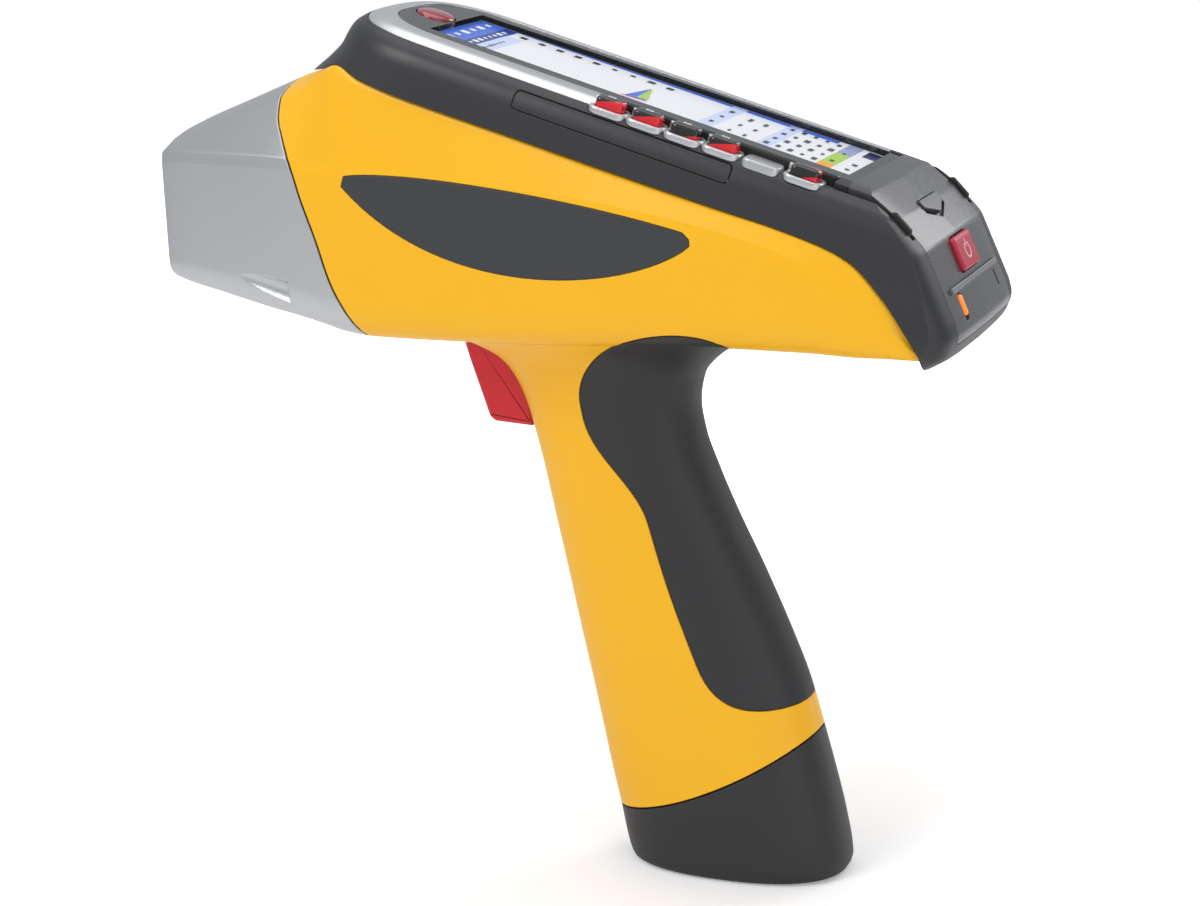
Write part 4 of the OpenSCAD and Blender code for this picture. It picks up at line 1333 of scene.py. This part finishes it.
@dataclass
class Deck(Assembly):
    """Bezel, glass, display and keys of the screen."""

    # Each key's second and third numbers place the painted dark reflection on its top
    keys: tuple[Key, ...] = (
        Key(64.6, -0.3), Key(76.3, 0.3), Key(88.0, 2.2), Key(99.7, 0.5), Key(124.4, 1.9, 0.9, False),
    )
    key_row: float = -30.3
    key_size: tuple[float, float, float] = (8.6, 4.8, 1.6)
    clear: Rect = Rect(0, 133, -17.4, 19.4, 0.03)
    levels: tuple[tuple[float, float, float], ...] = (
        (-3.6, -22.2, 31.8), (-2.3, -22.2, 31.8), (-1.1, -20.2, 30.4),
        (-0.2, -17.6, 28.4), (0.3, -15.2, 25.6),
    )
    bezel_rear: float = 132.4
    front_key: float = -6.5

    def frames(self, grow: float, steps: int = 6) -> list[Outline]:
        """Returns the outlines of the frames round the keys, grown from the keys' own."""
        length, width, radius = (v + 2 * grow for v in self.key_size)
        return [
            shifted(rounded(length, width, radius - grow, steps), key.place, self.key_row)
            for key in self.keys
        ]

    def seat(self) -> Solid:
        """Returns the room that the bezel needs in the cradle."""
        low, front, half = self.levels[0]
        whole = deck_prism("seat", deck_plan(front - 0.15, half + 0.15, self.bezel_rear + 0.15), low - 0.1, 7)
        for outline in self.frames(1.75):
            combine(whole, Join.UNION, deck_prism("frame", outline, low - 0.1, 7))
        return whole

    def bezel(self) -> Solid:
        """Returns the silver band round the screen, with a cup round each key."""
        table = Table(self.levels)
        rings = []
        for w in spread_over([row[0] for row in self.levels], 0.25):
            front, half = table.at(w)
            rings.append([(u, v, w) for u, v in deck_plan(front, half, self.bezel_rear)])
        band = DECK.place(loft("bezel", rings))
        low = self.levels[0][0]
        trough = [(58.8, -24.3), (60.2, -28.6), (60.2, -40), (133, -40), (133, -24.3)]
        combine(band, Join.MINUS, deck_prism("trough", trough, -2.6, 4))
        for outline in self.frames(1.6, 10):
            cup = deck_prism("cup", outline, low, -1.35)
            combine(band, Join.UNION, bevelled(cup, 0.55, 4, 60))
        pad = pillow(
            "pad", 11.2, 7.4, 2.2, [(low, 0), (-1.6, 0), (-1.15, 0.25), (-0.95, 0.8)], DECK, (112.05, -30.6)
        )
        combine(band, Join.UNION, pad)
        combine(band, Join.MINUS, deck_prism("glass", deck_plan(-14.55, 24.15), -5, 5))
        for outline in self.frames(0.35, 10):
            combine(band, Join.MINUS, deck_prism("hole", outline, -5, 5))
        return band

    def glass(self) -> None:
        """Builds and dresses the glass."""
        pane = deck_prism("screen_pane", deck_plan(-14.4, 24, 136.4), -1.6, 0)
        combine(pane, Join.MINUS, deck_prism("hole", ring_points(6.2, 72, (self.front_key, 0)), -5, 5))
        shade_smooth(pane)
        dress(pane, ScreenGlass("screen_glass_printed").build(self.clear, DECK))
        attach(pane, "instrument")
        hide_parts("screen_glass")

    def side_keys(self) -> None:
        """Builds and dresses the side keys."""
        length, width, radius = self.key_size
        levels = [(-3.2, 0), (0.2, 0), (0.8, 0.12), (1.25, 0.35), (1.5, 0.7), (1.64, 1.2), (1.68, 1.9)]
        for number, key in enumerate(self.keys, 1):
            body = f"side_key_{number}"
            cap = pillow(
                f"side_key_cap_{number}", length, width, radius, levels, DECK, (key.place, self.key_row)
            )
            shade_smooth(cap)
            # The key's material paints a dark reflection on its top, placed by its black and crown
            paint = KeyPaint(
                f"side_key_{number}_paint", (key.place, self.key_row), black=key.black, crown=key.crown
            )
            dress(cap, paint.build(DECK))
            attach(cap, body)
            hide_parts(f"side_button_{number}")
            if key.icon:
                mark = deck_prism(
                    "side_key_icon", shifted(rounded(2.3, 1.3, 0.35), key.place - 0.4, ICON_ROW), 1.4, 1.72
                )
                combine(
                    mark, Join.MINUS,
                    deck_prism("core", shifted(rounded(1.7, 0.7, 0.2), key.place - 0.4, ICON_ROW), 0, 2)
                )
                mark.name = f"side_key_icon_{number}"
                self.hand_in(mark, body, WHITE_MARK)

    def front_button(self) -> None:
        """Builds and dresses the domed key ahead of the screen."""
        rings = []
        for height, radius in (
            (-3.2, 5.8), (-0.2, 5.8), (0.2, 5.65), (0.6, 5.2), (0.95, 4.3), (1.2, 3.1), (1.35, 1.6)
        ):
            rings.append([(x, y, height) for x, y in ring_points(radius, 64, (self.front_key, 0))])
        self.hand_in(DECK.place(loft("front_key_dome", rings)), "front_key", GEM_RED, "front_button")

    def patch(
        self, name: str, finish: Glow, *outlines: Outline, low: float = -1.74, high: float = -1.66
    ) -> None:
        """Lays flat coloured areas on the display."""
        self.hand_in(
            merged(name, [deck_prism("area", o, low, high) for o in outlines]), "instrument", finish,
            flat=True
        )

    def marks(self, name: str, finish: Glow, at: tuple[float, float], columns: int, rows: int,
              pitch: tuple[float, float], size: tuple[float, float], seed: int) -> None:
        """Lays a grid of small marks on the display."""
        grid = MarkGrid(finish, columns, rows, pitch, (*size, 0.04))
        piece = grid.build(name, self.finishes.get(finish), DECK, (*at, -1.63), seed)
        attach(piece, "instrument")

    def across(self, u0: float, u1: float, v0: float | None = None, v1: float | None = None) -> Outline:
        """Returns an area across the display between two places along it."""
        near = self.clear.y0 if v0 is None else v0
        far = [self.clear.y1 + self.clear.flare * u if v1 is None else v1 for u in (u0, u1)]
        return [(u0, near), (u1, near), (u1, far[1]), (u0, far[0])]

    def screen(self) -> None:
        """Builds and dresses the display with a plain made-up page on it."""
        panel = deck_prism(
            "display_backlight", [(0, -23.2), (133, -23.2), (133, 23.6), (0, 23.6)], -3.4, -1.78
        )
        self.hand_in(panel, "instrument", PAGE, "display_panel", flat=True)
        self.patch(
            "screen_header", HEADER, self.across(0, 8.6),
            self.across(8.6, 118, 19.4, None)[:2] + [(118, 22.9), (8.6, 19.66)]
        )
        self.patch("screen_header_low", HEADER_DARK, self.across(8.6, 12.6, None, 19.3))
        self.patch("screen_rows", LILAC, self.across(12.6, 18, None, 12), self.across(84, 88.6, None, 21.6),
                   self.across(102.4, 106.6, None, 22))
        self.patch("screen_bar_low", ORANGE, self.across(121, 125.4, None, -6))
        self.patch("screen_bar_mid", GREEN, self.across(121, 125.4, -6, 9))
        self.patch("screen_bar_high", SLATE, self.across(121, 125.4, 9, None))
        self.patch("screen_corner", NAVY, self.across(127.4, 132.4, 14, 22.4))
        self.patch("screen_peak", HEADER, [(60.2, -9), (66.4, -7.6), (62.2, 7.5)], low=-1.66, high=-1.62)
        self.patch("screen_peak_side", GREEN, [(63.4, -7), (66.8, -6.2), (62.4, 8.4)], low=-1.62, high=-1.605)
        self.patch("screen_peak_foot", CRIMSON, [(59.4, -9.6), (67, -8), (67, -7.5), (59.4, -9.1)],
                   [(50, -16.8), (57, -16.4), (57, -15.9), (50, -16.3)],
                   [(76, -16.8), (83, -16.8), (83, -16.1), (76, -16.1)],
                   low=-1.66, high=-1.62)
        for name, finish, at, columns, rows, pitch, size, seed in (
            ("screen_icons", ICON, (4.2, 2), 1, 6, (4, 5.4), (3.0, 2.6), 4),
            ("screen_icons_low", ICON, (10.6, 0), 1, 9, (4, 3.4), (2.0, 2.0), 9),
            ("screen_labels", INK, (41, 15.4), 9, 1, (6.1, 4), (2.4, 2.6), 3),
            ("screen_title", INK, (15.4, -4), 1, 7, (3, 2.3), (1.5, 1.6), 12),
            ("screen_entries", INK, (86.3, 0), 1, 4, (4, 9), (1.6, 3.4), 6),
            ("screen_notes", INK, (95.5, 2), 2, 3, (4.8, 9.5), (1.2, 3.6), 8),
            ("screen_heads", INK, (104.5, 1), 1, 5, (4, 8), (1.6, 3.2), 5),
            ("screen_numbers", INK, (113.6, 1.6), 4, 5, (3.7, 8), (1.7, 3.6), 2),
            ("screen_units", INK, (123.2, -2), 1, 3, (4, 12), (1.7, 3.2), 7),
            ("screen_footer", INK, (129.2, -6), 1, 3, (4, 7.5), (1.6, 2.6), 11),
        ):
            self.marks(name, finish, at, columns, rows, pitch, size, seed)

    def build(self) -> None:
        """Builds and dresses the deck's parts."""
        self.hand_in(self.bezel(), "instrument", SILVER, "bezel")
        rib = pillow(
            "screen_rib", 73.4, 2.3, 1.1, [(-3, 0), (0.1, 0), (0.45, 0.3), (0.55, 0.8)], DECK, (95.6, -25.35)
        )
        up = DECK.matrix.col[2].to_3d()
        posts = [disc("post", DECK.matrix @ Vector((key.place - 5.3, -26.8, 0)), up, 0.95, -3, 0.35, 24)
                 for key in self.keys]
        self.hand_in(rib, "instrument", MATTE_BLACK)
        self.hand_in(merged("key_posts", [bevelled(post, 0.3, 3) for post in posts]), "instrument", SILVER)
        self.glass()
        self.screen()
        self.side_keys()
        self.front_button()


@dataclass
class Shell(Assembly):
    """Charcoal cradle round the screen, the flap on its side, and the rear cover with its controls."""

    region: Outline = field(
        default_factory=lambda: [(93.5, 205), (97.5, 230), (140, 230), (140, 173.2), (112, 173.2)]
    )
    face: Plane = field(default_factory=lambda: sloped((119.87, 0, 193.63), 67.7))
    crest: Plane = field(default_factory=lambda: sloped((111.4, 0, 206.4), 44.3))
    flap: Rect = Rect(38, 105, -9, -4.1)
    latch: Outline = field(default_factory=lambda: [(-3.2, -9), (-0.6, -9), (2.6, 0), (-0.6, 9), (-3.2, 9)])

    def cover(self, grow: float, depth: float) -> Solid:
        """Returns the rear cover's share of the skin."""
        grid = [(x - (grow if x < 120 else 0), z - (grow if z < 180 else 0)) for x, z in self.region]
        skin = combine(
            CRADLE.solid(-1 if grow > 0 else 0), Join.COMMON, side_prism("region", grid, 29 + grow)
        )
        return combine(skin, Join.MINUS, CRADLE.solid(depth))

    def flap_room(self, grow: float, thick: float, proud: float) -> Solid:
        """Returns the flap's form, or the room for it.

        Args:
            grow: how far its edges are moved outwards.
            thick: its thickness inwards from the cradle's side.
            proud: how far its outer face stands over the cradle's side.
        """
        along_deck = Vector(DECK.matrix.col[0].to_3d())
        section = Plane(tuple(DECK.matrix.translation), (0, -1, 0), -along_deck)
        low, high = self.flap.y0 - grow, self.flap.y1 + grow
        heights = [low + (high - low) * i / 14 for i in range(15)]
        outer = [(CRADLE.side_at(w) + proud, w) for w in heights]
        inner = [(CRADLE.side_at(w) - thick, w) for w in reversed(heights)]
        solid = prism("flap", outer + inner, -self.flap.x1 - grow, -self.flap.x0 + grow, section)
        side = Plane(tuple(DECK.matrix.translation), along_deck, (0, -1, 0))
        length, width = self.flap.x1 - self.flap.x0 + 2 * grow, high - low
        window = prism(
            "window",
            shifted(
                rounded(length, width, 1.5 + grow, 8), (self.flap.x0 + self.flap.x1) / 2, (low + high) / 2
            ),
            20, 60, side
        )
        return combine(solid, Join.COMMON, window)

    def cradle(self, deck: Deck) -> None:
        """Builds and dresses the cradle."""
        shell = combine(CRADLE.solid(), Join.COMMON, above_boundary())
        combine(shell, Join.MINUS, CRADLE.solid(CRADLE_WALL), BODY.solid(-0.12), deck.seat())
        combine(shell, Join.MINUS, deck_prism("glass", deck_plan(-14.6, 24.2, 136.6), -1.7, 10),
                deck_prism("well", deck_plan(-14, 26.8, 133), -20, 10),
                self.cover(0.2, 2.3), self.flap_room(0.3, 1.7, 6))
        for outline in deck.frames(0.35):
            combine(shell, Join.MINUS, deck_prism("hole", outline, -6, 4))
        for s in (-1, 1):
            groove = side_prism(
                "groove", [(90, 190), (90, 240), (140, 240), (112, 199), (108, 190)], 1.25, s * GROOVE_ROW
            )
            combine(groove, Join.MINUS, CRADLE.solid(2.4))
            combine(shell, Join.MINUS, groove)
        self.hand_in(shell, "instrument", CHARCOAL, "cradle")
        tabs = []
        for s in (-1, 1):
            tab = side_prism(
                "tab", [(108.4, 205.6), (107.6, 209.3), (109.2, 209.3), (113.6, 204.5), (112.6, 201.6)], 0.95,
                s * GROOVE_ROW
            )
            tabs.append(bevelled(tab, 0.4, 3))
        self.hand_in(merged("groove_tabs", tabs), "instrument", MATTE_BLACK)

    def port_cover(self) -> None:
        """Builds and dresses the flap over the sockets."""
        cover = self.flap_room(0, FLAP_WALL, FLAP_PROUD)
        self.hand_in(cover, "port_flap", CHARCOAL, "port_cover")

    def rear_cover(self) -> None:
        """Builds and dresses the rear cover."""
        cover = self.cover(0, 2.2)
        room = grown(self.latch, 0.35)
        combine(
            cover, Join.MINUS,
            prism("power", rounded(10.8, 17.8, 2), -6, 6, self.face),
            prism("bar", shifted(rounded(1.8, 48.4, 0.2), BAR_ROW, 0), -1, 6, self.face),
            prism("lamp", shifted(rounded(8.2, 3.2, 1.5), *LAMP_AT), -6, 6, self.face),
            prism("mark", shifted(rounded(5, 1.2, 0.55), *MARK_AT), -1.2, 6, self.face),
            prism("latch", [(x + (LATCH_TRAVEL if x > -2 else 0), y) for x, y in room], -1.3, 6, self.crest),
        )
        self.hand_in(cover, "instrument", REAR_GREY, "rear_cover")

    def controls(self) -> None:
        """Builds and dresses latch, power key, light bar and lamp."""
        latch = bevelled(prism("latch_plate", self.latch, -1.1, 0.5, self.crest), 0.25, 3)
        self.hand_in(latch, "latch", REAR_GREY, "cover_latch")
        levels = [(-1.2, 0), (0.5, 0), (0.85, 0.12), (1.1, 0.4), (1.25, 0.9), (1.3, 1.7)]
        self.hand_in(
            pillow("power_key_cap", 10, 17, 1.8, levels, self.face), "power_key", POWER_RED, "power_button"
        )
        gap = math.radians(32)
        turn = [math.pi + gap + (2 * math.pi - 2 * gap) * i / 30 for i in range(31)]
        ring = [
            (r * math.cos(a), r * math.sin(a)) for r, sweep in ((2.5, turn), (2.0, turn[::-1])) for a in sweep
        ]
        symbol = merged("power_symbol", [
            prism("ring", ring, 1.0, 1.36, self.face),
            prism("bar", shifted(rounded(2.6, 0.5, 0.2), -2.1, 0), 1.0, 1.36, self.face),
        ])
        self.hand_in(symbol, "power_key", POWER_MARK)
        bar = bevelled(
            prism("light_strip", shifted(rounded(1.6, 48, 0.3), BAR_ROW, 0), -0.9, 0.55, self.face), 0.25, 3
        )
        self.hand_in(bar, "instrument", LIGHT_PIPE, "light_bar")
        well = prism("lamp_well", shifted(rounded(8, 3, 1.4), *LAMP_AT), -2.4, -1.2, self.face)
        self.hand_in(well, "instrument", MATTE_BLACK)
        levels = [(-1.6, 0), (-0.2, 0), (0.1, 0.25), (0.25, 0.7)]
        lamp = pillow("status_lamp_lens", 6, 2.5, 1.2, levels, self.face, (12.6, -17.8))
        self.hand_in(lamp, "instrument", LAMP, "status_lamp")

    def build(self, deck: Deck) -> None:
        """Builds and dresses cradle, flap and rear cover.

        Args:
            deck: the deck that sits in the cradle.
        """
        self.cradle(deck)
        self.port_cover()
        self.rear_cover()
        self.controls()


@dataclass
class Trigger(Assembly):
    """Red trigger under the body."""

    pivot: tuple[float, float] = (-31, 173.5)
    half: float = 5.5
    softness: float = 2.2

    def outline(self) -> Outline:
        """Returns the lever's outline in the side view."""
        front = bezier((-36.4, 168), (-36, 160), (-31.4, 149), (-28.6, 139.6), 24)
        corners = [
            (-27.8, 137.4), (-26, 136), (-13.4, 135.2), (-12.4, 137), (-13.4, 146), (-17, 157), (-21, 166),
            (-24, 173)
        ]
        return fillet(front + corners, [0] * len(front) + [1, 1.5, 1.5, 1, 6, 8, 8, 2], 5, closed=True)

    def build(self) -> None:
        """Builds and dresses the trigger."""
        line, rings = self.outline(), []
        for i in range(33):
            y = self.half * math.sin(math.pi / 2 * (i / 16 - 1))
            past = max(0.0, abs(y) - (self.half - self.softness)) / self.softness
            drawn = grown(line, -self.softness * (1 - math.sqrt(max(0.0, 1 - past**2))) * 0.8)
            rings.append([(x, y, z) for x, z in drawn])
        lever = loft("trigger_lever", rings, fans=False)
        combine(lever, Join.UNION, cross_disc("lug", self.pivot, 6.2, -self.half, self.half),
                side_prism("bridge", [(-28, 169), (-12, 169), (-12, 173), (-28, 173)], self.half))
        combine(lever, Join.MINUS, cross_disc("bore", self.pivot, 1.55, -20, 20),
                cross_disc("coil", self.pivot, 4.2, -3, 3),
                side_prism("room", [(-35, 173.2), (-5, 173.2), (-5, 185), (-35, 185)], 3))
        self.hand_in(lever, "trigger_lever", RED, "trigger")


@dataclass
class Inside(Assembly):
    """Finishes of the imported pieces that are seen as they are."""

    worn: dict[str, Finish] = field(default_factory=lambda: {
        "window_film": FILM, "window_screws": STEEL, "housing_screws": STEEL, "battery_cells": CELL_WRAP,
        "battery_contacts": BRASS, "contact_block": MATTE_BLACK, "beam_head": STEEL, "filter_wheel": BRASS,
        "wheel_motor": ALUMINIUM, "detector": ALUMINIUM, "xray_tube": STEEL, "chassis": ALUMINIUM,
        "high_voltage_supply": DARK_METAL, "main_board": BOARD, "heat_sink": ALUMINIUM,
        "handheld_computer": MATTE_BLACK, "port_pin": STEEL, "trigger_pin": STEEL, "trigger_spring": STEEL,
        "trigger_switch": MATTE_BLACK,
    })

    def build(self) -> None:
        """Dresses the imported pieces."""
        for name, finish in self.worn.items():
            dress(bpy.data.objects[name], self.finishes.get(finish))


@dataclass
class Studio:
    """Backdrop, floor, lights and camera, in metres, watts and degrees."""

    eye: tuple[float, float, float] = (0.31293, -0.73221, 0.33684)
    aim: tuple[float, float, float] = (0.0064539, 0, 0.1269743)
    roll: float = -2.1472
    lens: float = 81
    sensor: float = 36
    lit_at: tuple[float, float, float] = (0, 0, 0.13)
    lamps: tuple[tuple[str, tuple[float, float, float], float, float], ...] = (
        ("key", (-0.45, -0.75, 0.95), 0.5, 4.5),
        ("fill", (0.9, -0.8, 0.5), 0.8, 2.5),
        ("top", (0.0, 0.1, 1.1), 0.9, 3.5),
        ("rim", (0.5, 0.8, 0.6), 0.5, 2.0),
    )

    def paper(self) -> bpy.types.Material:
        """Returns the floor's white, with the shadow near the instrument and plain white further out."""
        graph = Graph("floor_paper")
        axes = graph.node("ShaderNodeSeparateXYZ", None, {"Vector": graph.place()})
        reach = graph.node("ShaderNodeMath", {"operation": "SQRT"}, {
            0: axes.out("X") * axes.out("X") + axes.out("Y") * axes.out("Y"),
        }).out()
        seen = graph.node("ShaderNodeLightPath").out("Is Camera Ray")
        return graph.finish(
            base_color=graph.shade(graph.noise(40, 2), (0.93, 0.93, 0.93), (0.96, 0.96, 0.96)),
            roughness=0.7,
            emission_color=seen * (0.25 + reach.smooth(0.12, 0.55) * 0.75),
            emission_strength=1.0,
        )

    def build(self) -> None:
        """Builds the studio round the instrument."""
        scene = bpy.context.scene
        scene.view_settings.view_transform = "Standard"
        world = bpy.data.worlds.new("backdrop")
        scene.world = world
        world.use_nodes = True
        tree = world.node_tree
        tree.nodes.clear()
        path = tree.nodes.new("ShaderNodeLightPath")
        seen = tree.nodes.new("ShaderNodeMath")
        seen.operation = "MAXIMUM"
        tree.links.new(path.outputs["Is Camera Ray"], seen.inputs[0])
        tree.links.new(path.outputs["Is Transmission Ray"], seen.inputs[1])
        light, page = tree.nodes.new("ShaderNodeBackground"), tree.nodes.new("ShaderNodeBackground")
        light.inputs["Color"].default_value, light.inputs["Strength"].default_value = (0.92, 0.95, 1, 1), 0.5
        page.inputs["Color"].default_value, page.inputs["Strength"].default_value = (1, 1, 1, 1), 1.0
        mix, out = tree.nodes.new("ShaderNodeMixShader"), tree.nodes.new("ShaderNodeOutputWorld")
        tree.links.new(seen.outputs[0], mix.inputs["Fac"])
        tree.links.new(light.outputs[0], mix.inputs[1])
        tree.links.new(page.outputs[0], mix.inputs[2])
        tree.links.new(mix.outputs[0], out.inputs["Surface"])
        floor = prism("floor", [(-1500, -1500), (1500, -1500), (1500, 1500), (-1500, 1500)], -4, -0.02)
        dress(floor, self.paper())
        stage = [floor]
        for name, at, size, power in self.lamps:
            lamp = bpy.data.lights.new(name, "AREA")
            lamp.energy, lamp.size = power, size
            obj = bpy.data.objects.new(name, lamp)
            obj.location = at
            obj.rotation_euler = (Vector(self.lit_at) - Vector(at)).to_track_quat("-Z", "Y").to_euler()
            scene.collection.objects.link(obj)
            stage.append(obj)
        camera = bpy.data.cameras.new("camera")
        camera.lens, camera.sensor_width, camera.dof.use_dof = self.lens, self.sensor, False
        camera.clip_start, camera.clip_end = 0.01, 20
        view = bpy.data.objects.new("camera", camera)
        scene.collection.objects.link(view)
        eye, aim = Vector(self.eye), Vector(self.aim)
        level = (aim - eye).to_track_quat("-Z", "Y").to_matrix().to_4x4()
        turn = level @ Matrix.Rotation(math.radians(self.roll), 4, "Z")
        view.matrix_world = Matrix.Translation(eye) @ turn
        scene.camera = view
        stage.append(view)
        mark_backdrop(*stage)


def as_numbers(value: object) -> object:
    """Returns a value with its vectors and dictionaries as plain lists."""
    if isinstance(value, dict):
        return [[str(key), as_numbers(item)] for key, item in value.items()]
    if isinstance(value, (list, tuple, Vector)):
        return [as_numbers(item) for item in value]
    return value if isinstance(value, (int, float, str)) else str(value)


def main() -> None:
    """Builds the instrument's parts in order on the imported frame."""
    logging.basicConfig(level=logging.INFO, format="%(message)s")
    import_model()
    sizes = {"frame": as_numbers(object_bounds())}
    finishes = Finishes()
    cover, deck = Cover(finishes), Deck(finishes)
    Studio().build()
    for label, step in (
        ("nose", Nose(finishes).build),
        ("housing", lambda: Housing(finishes).build(cover.outline())),
        ("grip cover", cover.build),
        ("battery", Battery(finishes).build),
        ("deck", deck.build),
        ("cradle", lambda: Shell(finishes).build(deck)),
        ("trigger", Trigger(finishes).build),
        ("inside", Inside(finishes).build),
    ):
        step()
        LOG.info("built %s", label)
    sizes["visual"] = as_numbers(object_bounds())
    LOG.info("sizes %s", sizes)


if __name__ == "__main__":
    main()
